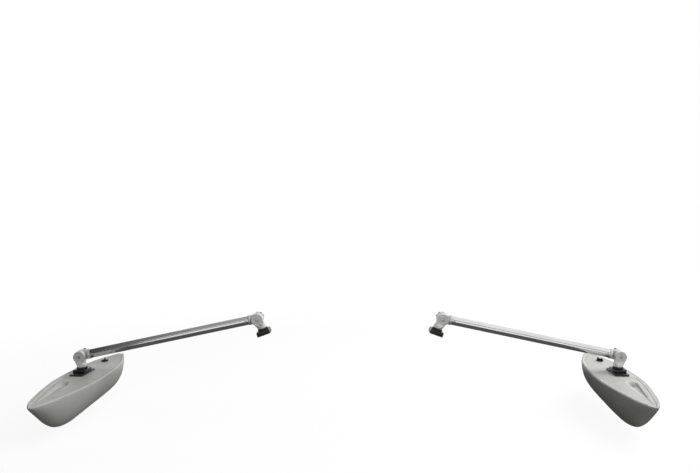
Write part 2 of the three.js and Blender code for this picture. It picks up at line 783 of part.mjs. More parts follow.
const outriggers = new THREE.Group();
outriggers.name = 'outriggers';
outriggers.add(outrigger('port', portToe, portPlugTurn));
const starboard = outrigger('starboard', starboardToe, starboardPlugTurn);
starboard.scale.x = -1;
outriggers.add(starboard);

export default outriggers;
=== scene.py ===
"""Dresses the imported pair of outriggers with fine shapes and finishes.

Metres, +X port, +Y aft, +Z up. Shapes are drawn in millimetres in the frame of their own mount, pivot or
arm, with x outboard, and are mirrored for the starboard side.
"""

import math

import bpy
import numpy as np
from mathutils import Matrix, Vector


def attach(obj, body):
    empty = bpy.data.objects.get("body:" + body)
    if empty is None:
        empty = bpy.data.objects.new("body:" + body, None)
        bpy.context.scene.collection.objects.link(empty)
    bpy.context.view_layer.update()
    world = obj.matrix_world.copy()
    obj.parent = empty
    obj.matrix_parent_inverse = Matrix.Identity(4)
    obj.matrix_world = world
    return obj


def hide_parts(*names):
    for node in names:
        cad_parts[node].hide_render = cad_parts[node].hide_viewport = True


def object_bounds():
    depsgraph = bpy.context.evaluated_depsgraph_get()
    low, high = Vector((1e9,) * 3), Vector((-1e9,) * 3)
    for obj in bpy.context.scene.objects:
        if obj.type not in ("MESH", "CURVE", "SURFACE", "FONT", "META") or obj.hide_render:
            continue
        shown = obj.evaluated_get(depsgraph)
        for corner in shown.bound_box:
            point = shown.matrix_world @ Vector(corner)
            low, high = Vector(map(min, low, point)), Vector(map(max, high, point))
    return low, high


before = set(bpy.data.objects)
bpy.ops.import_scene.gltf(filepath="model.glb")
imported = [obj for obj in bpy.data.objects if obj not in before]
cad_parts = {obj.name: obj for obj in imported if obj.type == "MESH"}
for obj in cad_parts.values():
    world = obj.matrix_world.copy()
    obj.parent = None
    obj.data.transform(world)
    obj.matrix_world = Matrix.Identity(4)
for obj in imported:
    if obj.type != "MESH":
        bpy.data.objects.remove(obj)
cad_low, cad_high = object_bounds()

MM = 0.001

# Arrangement
SEAT_SPACING = 713
BASE_SEAT_TILT = math.radians(20)
ARM_DROP = math.radians(12)
ARM_LENGTH = 762
TOE = {"port": math.radians(-1.5), "starboard": math.radians(5.5)}
SEAT_GAP = 0.3
HOLE_CLEARANCE = 0.5
OVERRUN = 2
OVERLAP = 1
CORNER_STEPS = 4
# No rounded corner takes more than this share of the side next to it
CORNER_LIMIT = 0.49

# Mount. EDGES are the roundings of a slab's lower and upper edge, CORNERS those of a turned profile's points
PLATE_SIZES = {"base": (58, 62), "float": (60, 110)}
PLATE_THICKNESS = 6
PLATE_CORNER = 8
PLATE_EDGES = (0.8, 1.6)
SOCKET_WIDTH = 57
SOCKET_HEIGHT = 12
SOCKET_CORNER = 7
SOCKET_EDGES = (0.8, 2.2)
BOSS_HEIGHT = 6
BOSS_WALL = 2.2
BOSS_CORNERS = (0, 0, 0.6, 0)
RING_HEIGHT = 8
RING_WALL = 3.6
RING_LIP = 2
RING_RIBS = 20
RING_RIB_DEPTH = 1.2
RING_RIB_POINTS = 10
RING_EDGES = (0.5, 1.1)
SCREW_RADIUS = 2.5
SCREW_HEAD_RADIUS = 4.5
SCREW_HEAD_HEIGHT = 3.5
SCREW_HEAD_SINK = 0.5
SCREW_CORNERS = (0, 0.8, 0, 0.2, 0.7, 0)
SCREW_HEX_WIDTH = 4
SCREW_HEX_DEPTH = 2
SCREW_INSET = 8
BASE_SCREW_TIP = 0.5
DECK_SCREW_REACH = 16

# Stem and arm fitting
SPIGOT_RADIUS = 13
SPIGOT_FLANGE = 1.5
SPIGOT_OVERLAP = 3
NECK_LENGTH = 42
FOOT_RADIUS = 19
FOOT_COLLAR = 4
FOOT_FLARE = 24
FOOT_EDGE = ((0.8, 0), (0.25, 0.25), (0, 0.8))
FOOT_POINTS = 96
FLARE_STEPS = 14
FLARE_SQUARENESS = 4
FLARE_INSET_X = 1
FLARE_INSET_Y = 0.3
LUG_RADIUS = 24.5
LUG_THICKNESS = 22
LUG_TAPER = math.radians(35)
LUG_STEPS = 72
LUG_EDGES = (1.6, 1.6)
NECK_HALF_WIDTH = 17
NECK_REACH = 32
TOOTH_COUNT = 15
TOOTH_POINTS = 12
TOOTH_RING_RADIUS = 22.5
TOOTH_RING_THICKNESS = 2.4
TOOTH_RING_EDGES = (0.4, 0.4)
TOOTH_DEPTH = 2.2
SHOULDER_HALF_HEIGHT = 18.5
SHOULDER_REACH = 34
TUBE_SETBACK = 40
STOP_RADIUS = 21
STOP_OVERLAP = 7
STOP_TAPER = 4
STOP_TAPER_RUN = 5
STOP_CORNERS = (0, 2, 2, 1.2, 0)
PLUG_LENGTH = 38
PLUG_OVERLAP = 6
CASTING_VOXEL = 0.55
KNUCKLE_SMOOTHING = 9
FITTING_SMOOTHING = 7

# Tube, bolt and knob
TUBE_RADIUS = 19.05
TUBE_WALL = 2
TUBE_LIP = 0.5
TUBE_END_STATIONS = (TUBE_LIP, 1, 3, 6, 10, 14, 18, 24)
TUBE_SPANS = 8
TUBE_SCREW_SETBACK = 50
TUBE_SCREW_RADIUS = 2.4
TUBE_SCREW_HEAD_RADIUS = 4.4
TUBE_SCREW_HEAD_HEIGHT = 2.4
TUBE_SCREW_HEAD_SIDE = 0.6
TUBE_SCREW_FACE_SHARE = 0.7
TUBE_SCREW_CORNERS = (0, 1.4, 0.6, 0.1, 0, 0.4, 0)
TUBE_SCREW_HEX_WIDTH = 2.5
TUBE_SCREW_HEX_DEPTH = 1.5
TUBE_SCREW_DEPTH = 9
BOLT_RADIUS = 4
BOLT_HEAD_RADIUS = 6.5
BOLT_HEAD_HEIGHT = 4
BOLT_HEAD_SINK = 0.4
BOLT_CORNERS = (0, 1.2, 0.2, 0, 0.8, 0)
BOLT_HEX_WIDTH = 5
BOLT_HEX_DEPTH = 2.6
BOLT_GRIP = 15
COUNTERSINK_DEPTH = 0.4
COUNTERSINK_WIDTH = 3
COUNTERSINK_RISE = 3.4
KNOB_RADIUS = 24
KNOB_LOBES = 8
KNOB_LOBE_DEPTH = 2.6
KNOB_LOBE_POWER = 0.8
KNOB_LOBE_POINTS = 20
KNOB_HUB_RADIUS = 12
KNOB_HUB_HEIGHT = 3
KNOB_HUB_CORNERS = (0, 0.6, 0, 0)
KNOB_HEIGHT = 18

# Float
FLOAT_LENGTH = 742
FLOAT_HALF_BREADTH = 91
FLOAT_DEPTH = 144
FLOAT_MOUNT_SHARE = 0.425
FLOAT_OFFSET = 25
FLOAT_SPANS = 130
LEAST_SPAN = 0.05
DECK_EDGE_RADIUS = 4.5
DECK_EDGE_STEPS = 8
DECK_EDGE_SHRINK = 0.5
SECTION_ROUNDNESS = 1.82
SECTION_STEPS = 26
DECK_BORDER = 11
RIM_WIDTH = 6
RIM_HEIGHT = 1.2
RIM_HEIGHT_LIMIT = 0.2
RIM_TOP_SHARE = 0.3
RIM_SLOPE_SHARE = 0.7
CROWN_DEPTH = 5
CROWN_FLAT = 33
CROWN_RUN = 70
PANEL_RUN = 6
PANEL_DEPTH = 2.8
PANEL_START = 66
PANEL_RAMP = 7
PANEL_RAMP_SPANS = 8
SCOOP_START = 112
SCOOP_START_BEND = 10
SCOOP_AFT_RUN = 26
SCOOP_END = 411
SCOOP_OUTER_WIDTH = 53
SCOOP_CREST = 4
SCOOP_LEAST_WIDTH = 3
SCOOP_LEAST_HALF = 1
SCOOP_WALL_RUN = 8
SCOOP_DEPTH = 14
SCOOP_AFT_STATIONS = 23
SCOOP_AFT_SPAN = 2
PIT_DEPTH = 12
PIT_ACROSS = 30
PIT_FORWARD = 134
PIT_HALF_WIDTH = 15
PIT_HALF_LENGTH = 19
PIT_FLAT_SHARE = 0.25
PIT_WALL_SHARE = 0.7
BORDER_LIMIT = 0.28
PANEL_RUN_LIMIT = 0.14
SCOOP_LIMIT = 0.86
SCOOP_FLOOR_SHARE = 0.35
STERN_ROUND = 7
STERN_SPANS = 8
BOW_ROUND = 2
BOW_SPANS = 4
# The least that the rounded ends leave of a section's width, deck edge and side
LEAST_NARROWING = 0.02
LEAST_CORNER = 0.2
LEAST_SIDE = 1
# Share of the length from the stern, half breadth and depth, both as shares of the greatest
OUTLINE = [
    (0, 0.15, 0.515), (0.012, 0.19, 0.6), (0.04, 0.28, 0.72), (0.1, 0.487, 0.795),
    (0.2, 0.765, 0.86), (0.32, 0.917, 0.885), (0.43, 0.978, 0.905), (0.51, 1, 0.92),
    (0.6, 0.97, 0.957), (0.7, 0.85, 0.995), (0.78, 0.722, 0.925), (0.84, 0.608, 0.765),
    (0.9, 0.476, 0.497), (0.95, 0.313, 0.268), (0.985, 0.145, 0.11), (1, 0.045, 0.036),
]
CURVE_HALVINGS = 30

# Drain plug
DRAIN_FORWARD = -180
DRAIN_OUTBOARD = 14
DRAIN_BORE_RADIUS = 10
DRAIN_BORE_DEPTH = 14
DRAIN_PLUG_LENGTH = 11
DRAIN_FLANGE_RADIUS = 15
DRAIN_FLANGE_HEIGHT = 3
DRAIN_KNURLS = 30
DRAIN_KNURL_POINTS = 4
DRAIN_KNURL_DEPTH = 0.35
DRAIN_FIN_LENGTH = 26
DRAIN_FIN_WIDTH = 5
DRAIN_FIN_HEIGHT = 9
DRAIN_FIN_CORNER = 2.2
DRAIN_FIN_EDGES = (0.2, 1.6)
DRAIN_FIN_OVERLAP = 1.5
DRAIN_FIN_BEVEL = 0.5
DRAIN_FIN_BEVEL_ANGLE = math.radians(40)
DRAIN_NOTCH_RADIUS = 7
DRAIN_NOTCH_DEPTH = 4
PLUG_TURN = {"port": math.radians(-48), "starboard": math.radians(64)}
SEAL_WIDTH = 2.6
SEAL_THICKNESS = 1.6
SEAL_CORNERS = (0, 0.4, 0.5, 0.5, 0)

# Smooth shapes are drawn at this share of their size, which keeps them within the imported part's box
WITHIN = 0.998

# Stage, in metres: lamps and cards are placed about the origin between the seats
FLOOR_DROP = 0.022
FLOOR_REACH = 30
FLOOR_COLOUR = (0.13, 0.13, 0.13, 1)
FLOOR_FADE = (1.6, 3.4, 0.91, 1)
WORLD_STRENGTH = 0.06
LAMP_AIM = (0, 0, -0.1)
CARD_LIFT = 0.0005
CARD_Y = -8

# Camera, solved from the photograph: lengths in its pixels, the sensor in millimetres, the place in metres
FOCAL_LENGTH = 650.15
FRAME_WIDTH = 700
FRAME_MIDDLE = 236.5
HORIZON = 181.08
SENSOR_WIDTH = 36
CAMERA_PLACE = (0, -2.6729, 0.6363)

# Sizes that follow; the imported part's bores have 16 sides
BORE_FLATS = math.cos(math.pi / 16)
SOCKET_BASE = PLATE_THICKNESS + SEAT_GAP
SOCKET_TOP = SOCKET_BASE + SOCKET_HEIGHT
BOSS_TOP = SOCKET_TOP + BOSS_HEIGHT
RING_BASE = SOCKET_TOP + SEAT_GAP
RING_TOP = RING_BASE + RING_HEIGHT
LIP_BASE = RING_TOP - RING_LIP
FLANGE_RADIUS = SPIGOT_RADIUS + SPIGOT_FLANGE
SOCKET_BORE_RADIUS = (FLANGE_RADIUS + SEAT_GAP) / BORE_FLATS
BOSS_RADIUS = SOCKET_BORE_RADIUS + BOSS_WALL
RING_BORE_RADIUS = (BOSS_RADIUS + SEAT_GAP) / BORE_FLATS
RING_RADIUS = RING_BORE_RADIUS + RING_WALL
FOOT_BASE = RING_TOP + SEAT_GAP
PIVOT_ACROSS = NECK_LENGTH * math.sin(ARM_DROP)
PIVOT_ABOVE = RING_TOP + NECK_LENGTH * math.cos(ARM_DROP)
LUG_BACK = LUG_THICKNESS / 2
TOOTH_FRONT = LUG_BACK + SEAT_GAP
TOOTH_BACK = TOOTH_FRONT + TOOTH_RING_THICKNESS
FITTING_FRONT = TOOTH_BACK + SEAT_GAP
FITTING_BACK = FITTING_FRONT + LUG_THICKNESS
ARM_OFFSET = (FITTING_FRONT + FITTING_BACK) / 2
KNOB_FRONT = FITTING_BACK + SEAT_GAP
TUBE_BORE_RADIUS = TUBE_RADIUS - TUBE_WALL
SCREW_HOLE_RADIUS = SCREW_RADIUS + HOLE_CLEARANCE
TUBE_SCREW_HOLE_RADIUS = TUBE_SCREW_RADIUS + HOLE_CLEARANCE
BOLT_HOLE_RADIUS = BOLT_RADIUS + HOLE_CLEARANCE
SCREW_PLACE = SOCKET_WIDTH / 2 - SCREW_INSET
SCREW_TOP = SOCKET_TOP - SCREW_HEAD_SINK
SCREW_PLACES = [(-SCREW_PLACE, -SCREW_PLACE), (SCREW_PLACE, -SCREW_PLACE),
                (SCREW_PLACE, SCREW_PLACE), (-SCREW_PLACE, SCREW_PLACE)]
STERN = -FLOAT_MOUNT_SHARE * FLOAT_LENGTH
BOW = STERN + FLOAT_LENGTH
DRAIN_ACROSS = DRAIN_OUTBOARD - FLOAT_OFFSET

# Turns that lay a shape drawn about Z along Y or along X
TO_Y = Matrix.Rotation(-math.pi / 2, 4, "X")
TO_X = Matrix.Rotation(math.pi / 2, 4, "Y")


# Numbers
def turns(count):
    return [2 * math.pi * at / count for at in range(count)]


def smoothstep(value, start, run):
    share = min(max((value - start) / run, 0), 1)
    return share * share * (3 - 2 * share)


def signed_power(value, power):
    return math.copysign(abs(value) ** power, value)


# Mesh helpers: every shape is a mesh in metres in its own frame
def mesh_of(points, faces):
    mesh = bpy.data.meshes.new("shape")
    mesh.from_pydata([Vector(point) * MM for point in points], [], faces)
    mesh.validate()
    mesh.update()
    return mesh


def new_object(name, data):
    made = bpy.data.objects.new(name, data)
    bpy.context.scene.collection.objects.link(made)
    return made


def loft(rings, closed=False):
    """Joins rings of equally many points, capped at both ends or closed on itself."""
    size = len(rings[0])
    points = [point for ring in rings for point in ring]
    faces = []
    for row in range(len(rings) if closed else len(rings) - 1):
        low = row * size
        high = (row + 1) % len(rings) * size
        for at in range(size):
            after = (at + 1) % size
            faces.append((low + at, low + after, high + after, high + at))
    if not closed:
        last = (len(rings) - 1) * size
        faces.append(tuple(range(size - 1, -1, -1)))
        faces.append(tuple(range(last, last + size)))
    return mesh_of(points, faces)


def moved(mesh, matrix):
    """The shape moved by a matrix whose shift is in millimetres."""
    shifted = matrix.copy()
    shifted.translation = matrix.translation * MM
    mesh.transform(shifted)
    if shifted.determinant() < 0:
        mesh.flip_normals()
    return mesh


def shift(x, y, z):
    return Matrix.Translation((x, y, z))


def rounded(points, radii):
    """A polyline with its corners rounded: one radius for each point, and 0 for a point that stays."""
    made = []
    for at, point in enumerate(points):
        if radii[at] == 0:
            made.append(tuple(point))
            continue
        here = Vector(point)
        back = Vector(points[at - 1]) - here
        ahead = Vector(points[at + 1]) - here
        half = back.angle(ahead) / 2
        run = min(radii[at] / math.tan(half), CORNER_LIMIT * back.length, CORNER_LIMIT * ahead.length)
        start = here + back.normalized() * run
        end = here + ahead.normalized() * run
        for step in range(CORNER_STEPS + 1):
            share = step / CORNER_STEPS
            made.append(tuple(start.lerp(here, share).lerp(here.lerp(end, share), share)))
    return made


def circle(radius, height, count):
    return [(radius * math.cos(turn), radius * math.sin(turn), height) for turn in turns(count)]


def lathe(profile, segments=64, closed=False):
    """A solid of revolution about Z from (radius, height) pairs, outer side going up.

    Points on the axis are left out, because the caps close the shape there.
    """
    return loft([circle(radius, height, segments) for radius, height in profile if radius > 0], closed)


def inset(outline, distance):
    """The outline moved inwards; it runs anticlockwise."""
    made = []
    count = len(outline)
    for at in range(count):
        before = Vector(outline[at - 1])
        after = Vector(outline[(at + 1) % count])
        along = (after - before).normalized()
        made.append((outline[at][0] - along.y * distance, outline[at][1] + along.x * distance))
    return made


def slab(outline, low, high, roundings, steps=4):
    """A slab from an outline in XY, its lower and upper edges rounded."""
    low_round, high_round = roundings
    quarter = [math.pi / 2 * step / steps for step in range(steps + 1)]
    rings = []
    for turn in quarter:
        height = low + low_round * (1 - math.cos(turn))
        rings.append([(x, y, height) for x, y in inset(outline, low_round * (1 - math.sin(turn)))])
    for turn in quarter:
        height = high - high_round * (1 - math.sin(turn))
        rings.append([(x, y, height) for x, y in inset(outline, high_round * (1 - math.cos(turn)))])
    return loft(rings)


def rounded_rectangle(width, length, radius, steps=8):
    points = []
    corners = [(1, 1), (-1, 1), (-1, -1), (1, -1)]
    for number, (x_side, y_side) in enumerate(corners):
        x = x_side * (width / 2 - radius)
        y = y_side * (length / 2 - radius)
        for step in range(steps + 1):
            turn = math.pi / 2 * (number + step / steps)
            points.append((x + radius * math.cos(turn), y + radius * math.sin(turn)))
    return points


def wavy_outline(outer_radius, depth, waves, points_per_wave):
    points = []
    for turn in turns(waves * points_per_wave):
        radius = outer_radius - depth * (1 - math.cos(waves * turn)) / 2
        points.append((radius * math.cos(turn), radius * math.sin(turn)))
    return points


def with_modifier(mesh, kind, **settings):
    """The mesh as a modifier leaves it."""
    holder = new_object("holder", mesh)
    modifier = holder.modifiers.new(kind.title(), kind)
    for name, value in settings.items():
        setattr(modifier, name, value)
    evaluated = holder.evaluated_get(bpy.context.evaluated_depsgraph_get())
    made = bpy.data.meshes.new_from_object(evaluated)
    bpy.data.objects.remove(holder)
    return made


def combined(mesh, other, operation):
    tool = new_object("tool", other)
    made = with_modifier(mesh, "BOOLEAN", object=tool, operation=operation, solver="EXACT")
    bpy.data.objects.remove(tool)
    return made


def cut(mesh, other):
    return combined(mesh, other, "DIFFERENCE")


def joined(mesh, other):
    return combined(mesh, other, "UNION")


def cast(mesh, passes):
    """Melts joined solids into one casting with soft inner and outer corners."""
    whole = with_modifier(mesh, "REMESH", mode="VOXEL", voxel_size=CASTING_VOXEL * MM, use_smooth_shade=True)
    return with_modifier(whole, "SMOOTH", factor=0.5, iterations=passes)


def rod(radius, low, high, segments=32):
    return lathe([(radius, low), (radius, high)], segments)


def hex_socket(across, low, high):
    return rod(across / 2 / math.cos(math.pi / 6), low, high, segments=6)


def with_screw_holes(mesh, profile, segments=32):
    """The mesh with a turned hole at the place of each screw."""
    for x, y in SCREW_PLACES:
        mesh = cut(mesh, moved(lathe(profile, segments), shift(x, y, 0)))
    return mesh


# Mount
def plate_shape(kind):
    width, length = PLATE_SIZES[kind]
    mesh = slab(rounded_rectangle(width, length, PLATE_CORNER), 0, PLATE_THICKNESS, PLATE_EDGES)
    hole = [(SCREW_HOLE_RADIUS, -OVERRUN), (SCREW_HOLE_RADIUS, PLATE_THICKNESS + OVERRUN)]
    return with_screw_holes(mesh, hole)


def socket_shape():
    outline = rounded_rectangle(SOCKET_WIDTH, SOCKET_WIDTH, SOCKET_CORNER)
    mesh = slab(outline, SOCKET_BASE, SOCKET_TOP, SOCKET_EDGES)
    boss_base = SOCKET_BASE + OVERLAP
    boss = lathe(rounded([(0, boss_base), (BOSS_RADIUS, boss_base), (BOSS_RADIUS, BOSS_TOP), (0, BOSS_TOP)],
                         BOSS_CORNERS))
    mesh = joined(mesh, boss)
    mesh = cut(mesh, rod(SOCKET_BORE_RADIUS, SOCKET_BASE - OVERRUN, BOSS_TOP + OVERRUN, segments=64))
    head_base = SCREW_TOP - SCREW_HEAD_HEIGHT - SEAT_GAP
    head = SCREW_HEAD_RADIUS + HOLE_CLEARANCE
    recess = [(SCREW_HOLE_RADIUS, SOCKET_BASE - OVERRUN), (SCREW_HOLE_RADIUS, head_base), (head, head_base),
              (head, SOCKET_TOP + OVERRUN)]
    return with_screw_holes(mesh, recess)


def cap_screw_shape(tip):
    head_base = SCREW_TOP - SCREW_HEAD_HEIGHT
    profile = rounded([(0, tip), (SCREW_RADIUS, tip), (SCREW_RADIUS, head_base),
                       (SCREW_HEAD_RADIUS, head_base), (SCREW_HEAD_RADIUS, SCREW_TOP), (0, SCREW_TOP)],
                      SCREW_CORNERS)
    drive = hex_socket(SCREW_HEX_WIDTH, SCREW_TOP - SCREW_HEX_DEPTH, SCREW_TOP + OVERRUN)
    return cut(lathe(profile, segments=36), drive)


def lock_ring_shape():
    outline = wavy_outline(RING_RADIUS, RING_RIB_DEPTH, RING_RIBS, RING_RIB_POINTS)
    mesh = slab(outline, RING_BASE, RING_TOP, RING_EDGES)
    bore = lathe([(RING_BORE_RADIUS, RING_BASE - OVERRUN), (RING_BORE_RADIUS, LIP_BASE),
                  (SPIGOT_RADIUS + SEAT_GAP, LIP_BASE), (SPIGOT_RADIUS + SEAT_GAP, RING_TOP + OVERRUN)])
    return cut(mesh, bore)


# Stem and arm fitting: melted together as castings, then bored
def lug_outline(neck_edge, reach):
    points = []
    for step in range(LUG_STEPS + 1):
        turn = -LUG_TAPER + (math.pi + 2 * LUG_TAPER) * step / LUG_STEPS
        points.append((LUG_RADIUS * WITHIN * math.cos(turn), LUG_RADIUS * WITHIN * math.sin(turn)))
    return [*points, (-neck_edge, -reach), (neck_edge, -reach)]


def lug_shape(neck_edge, reach, front):
    """The lug in XZ about its pivot, its thickness along +Y from the front face."""
    flat = slab(lug_outline(neck_edge, reach), 0, LUG_THICKNESS, LUG_EDGES)
    return moved(flat, shift(0, front + LUG_THICKNESS, 0) @ Matrix.Rotation(math.pi / 2, 4, "X"))


def foot_shape():
    """Round at the lock ring, and drawn in above it to the section of the neck."""
    rings = [circle(FOOT_RADIUS - inward, FOOT_BASE + height, FOOT_POINTS) for inward, height in FOOT_EDGE]
    for step in range(FLARE_STEPS + 1):
        share = step / FLARE_STEPS
        height = FOOT_BASE + FOOT_COLLAR + (FOOT_FLARE - FOOT_COLLAR) * share
        lean = math.tan(ARM_DROP) * (height - RING_TOP) * share
        square = smoothstep(share, 0, 1)
        power = 2 / (2 + FLARE_SQUARENESS * square)
        half_x = FOOT_RADIUS + (NECK_HALF_WIDTH - FLARE_INSET_X - FOOT_RADIUS) * square
        half_y = FOOT_RADIUS + (LUG_BACK - FLARE_INSET_Y - FOOT_RADIUS) * square
        rings.append([(half_x * signed_power(math.cos(turn), power) + lean,
                       half_y * signed_power(math.sin(turn), power), height) for turn in turns(FOOT_POINTS)])
    return loft(rings)


def knuckle_shape():
    place_at = shift(PIVOT_ACROSS, 0, PIVOT_ABOVE)
    lug = lug_shape(NECK_HALF_WIDTH, NECK_REACH, -LUG_BACK)
    lug = moved(lug, place_at @ Matrix.Rotation(ARM_DROP, 4, "Y"))
    body = cast(joined(lug, foot_shape()), KNUCKLE_SMOOTHING)
    flange_top = LIP_BASE - SEAT_GAP
    spigot = lathe([(FLANGE_RADIUS, SOCKET_BASE), (FLANGE_RADIUS, flange_top), (SPIGOT_RADIUS, flange_top),
                    (SPIGOT_RADIUS, FOOT_BASE + SPIGOT_OVERLAP)])
    body = joined(body, spigot)
    seat = -LUG_BACK + (BOLT_HEAD_HEIGHT + BOLT_HEAD_SINK + SEAT_GAP)
    head = BOLT_HEAD_RADIUS + HOLE_CLEARANCE
    hole = lathe([(head + COUNTERSINK_WIDTH, -LUG_BACK - COUNTERSINK_RISE),
                  (head, -LUG_BACK + COUNTERSINK_DEPTH), (head, seat), (BOLT_HOLE_RADIUS, seat),
                  (BOLT_HOLE_RADIUS, LUG_BACK + OVERRUN)])
    return cut(body, moved(hole, place_at @ TO_Y))


def fitting_shape():
    lug = lug_shape(SHOULDER_HALF_HEIGHT, SHOULDER_REACH, FITTING_FRONT)
    lug = moved(lug, Matrix.Rotation(-math.pi / 2, 4, "Y"))
    end = TUBE_SETBACK - SEAT_GAP
    root = SHOULDER_REACH - STOP_OVERLAP
    stop = lathe(rounded([(0, root), (STOP_RADIUS - STOP_TAPER, root), (STOP_RADIUS, root + STOP_TAPER_RUN),
                          (STOP_RADIUS, end), (0, end)], STOP_CORNERS))
    to_tube = shift(0, ARM_OFFSET, 0) @ TO_X
    body = cast(joined(lug, moved(stop, to_tube)), FITTING_SMOOTHING)
    plug = rod(TUBE_BORE_RADIUS - SEAT_GAP, TUBE_SETBACK - PLUG_OVERLAP, TUBE_SETBACK + PLUG_LENGTH,
               segments=64)
    body = joined(body, moved(plug, to_tube))
    body = cut(body, moved(rod(BOLT_HOLE_RADIUS, FITTING_FRONT - OVERRUN, FITTING_BACK + OVERRUN), TO_Y))
    screw_hole = rod(TUBE_SCREW_HOLE_RADIUS, ARM_OFFSET - TUBE_RADIUS - OVERRUN, ARM_OFFSET)
    return cut(body, moved(screw_hole, shift(TUBE_SCREW_SETBACK, 0, 0) @ TO_Y))


def tooth_ring_shape():
    outline = wavy_outline(TOOTH_RING_RADIUS, TOOTH_DEPTH, TOOTH_COUNT, TOOTH_POINTS)
    ring = slab(outline, TOOTH_FRONT, TOOTH_BACK, TOOTH_RING_EDGES, steps=2)
    hole = rod(BOLT_HOLE_RADIUS, TOOTH_FRONT - OVERRUN, TOOTH_BACK + OVERRUN)
    return moved(cut(ring, hole), TO_Y)


# Tube, bolt and knob
def tube_shape():
    low, high = TUBE_SETBACK, ARM_LENGTH - TUBE_SETBACK
    length = ARM_LENGTH - 2 * TUBE_SETBACK
    middle = [length * share / TUBE_SPANS for share in range(1, TUBE_SPANS)]
    stations = [*TUBE_END_STATIONS, *middle, *(length - station for station in reversed(TUBE_END_STATIONS))]
    profile = [(TUBE_BORE_RADIUS, high - TUBE_LIP), (TUBE_BORE_RADIUS, low + TUBE_LIP),
               (TUBE_BORE_RADIUS + TUBE_LIP, low), (TUBE_RADIUS - TUBE_LIP, low),
               *((TUBE_RADIUS, low + station) for station in stations),
               (TUBE_RADIUS - TUBE_LIP, high), (TUBE_BORE_RADIUS + TUBE_LIP, high)]
    mesh = moved(lathe(profile, segments=96, closed=True), shift(0, ARM_OFFSET, 0) @ TO_X)
    for x in (TUBE_SCREW_SETBACK, ARM_LENGTH - TUBE_SCREW_SETBACK):
        hole = rod(TUBE_SCREW_HOLE_RADIUS, ARM_OFFSET - TUBE_RADIUS - OVERRUN, ARM_OFFSET, segments=24)
        mesh = cut(mesh, moved(hole, shift(x, 0, 0) @ TO_Y))
    return mesh


def tube_screw_shape():
    face = ARM_OFFSET - TUBE_RADIUS - SEAT_GAP
    top = face - TUBE_SCREW_HEAD_HEIGHT
    tip = face + TUBE_SCREW_DEPTH
    profile = rounded([(0, top), (TUBE_SCREW_HEAD_RADIUS * TUBE_SCREW_FACE_SHARE, top),
                       (TUBE_SCREW_HEAD_RADIUS, face - TUBE_SCREW_HEAD_SIDE), (TUBE_SCREW_HEAD_RADIUS, face),
                       (TUBE_SCREW_RADIUS, face), (TUBE_SCREW_RADIUS, tip), (0, tip)], TUBE_SCREW_CORNERS)
    drive = hex_socket(TUBE_SCREW_HEX_WIDTH, top - OVERRUN, top + TUBE_SCREW_HEX_DEPTH)
    return moved(cut(lathe(profile, segments=36), drive), shift(TUBE_SCREW_SETBACK, 0, 0) @ TO_Y)


def bolt_shape():
    top = -LUG_BACK + BOLT_HEAD_SINK
    end = KNOB_FRONT + BOLT_GRIP
    profile = rounded([(0, top), (BOLT_HEAD_RADIUS, top), (BOLT_HEAD_RADIUS, top + BOLT_HEAD_HEIGHT),
                       (BOLT_RADIUS, top + BOLT_HEAD_HEIGHT), (BOLT_RADIUS, end), (0, end)], BOLT_CORNERS)
    drive = hex_socket(BOLT_HEX_WIDTH, top - OVERRUN, top + BOLT_HEX_DEPTH)
    return moved(cut(lathe(profile, segments=40), drive), TO_Y)


def knob_shape():
    """Lobed head with a dished face, a raised cap in it and a hub below."""
    base = KNOB_FRONT + KNOB_HUB_HEIGHT
    face = base + KNOB_HEIGHT
    # Step inward from the rim, height, and share of the lobes' depth
    levels = [
        (3.2, base, 1), (1.4, base + 0.5, 1), (0.4, base + 1.6, 1), (0, base + 3.4, 1), (0, base + 9, 1),
        (0.1, face - 5, 1), (0.7, face - 2.6, 1), (1.9, face - 0.9, 1), (3.4, face - 0.1, 1), (4.4, face, 1),
        (5.4, face - 0.3, 0.9), (7.2, face - 1.4, 0.6), (9.4, face - 2.3, 0.25), (11.8, face - 2.6, 0),
        (13.2, face - 2.6, 0), (13.9, face - 2.3, 0), (14.3, face - 1.5, 0), (14.9, face - 1.2, 0),
        (18, face - 0.9, 0), (21, face - 0.8, 0),
    ]
    rings = []
    for inward, height, lobed in levels:
        ring = []
        for turn in turns(KNOB_LOBES * KNOB_LOBE_POINTS):
            wave = (1 - math.cos(KNOB_LOBES * turn)) / 2
            radius = KNOB_RADIUS * WITHIN - inward - KNOB_LOBE_DEPTH * lobed * wave ** KNOB_LOBE_POWER
            ring.append((radius * math.cos(turn), radius * math.sin(turn), height))
        rings.append(ring)
    hub_top = base + OVERLAP
    hub = lathe(rounded([(0, KNOB_FRONT), (KNOB_HUB_RADIUS, KNOB_FRONT), (KNOB_HUB_RADIUS, hub_top),
                         (0, hub_top)], KNOB_HUB_CORNERS))
    bore = rod(BOLT_HOLE_RADIUS, KNOB_FRONT - OVERRUN, KNOB_FRONT + BOLT_GRIP + SEAT_GAP)
    return moved(cut(joined(loft(rings), hub), bore), TO_Y)


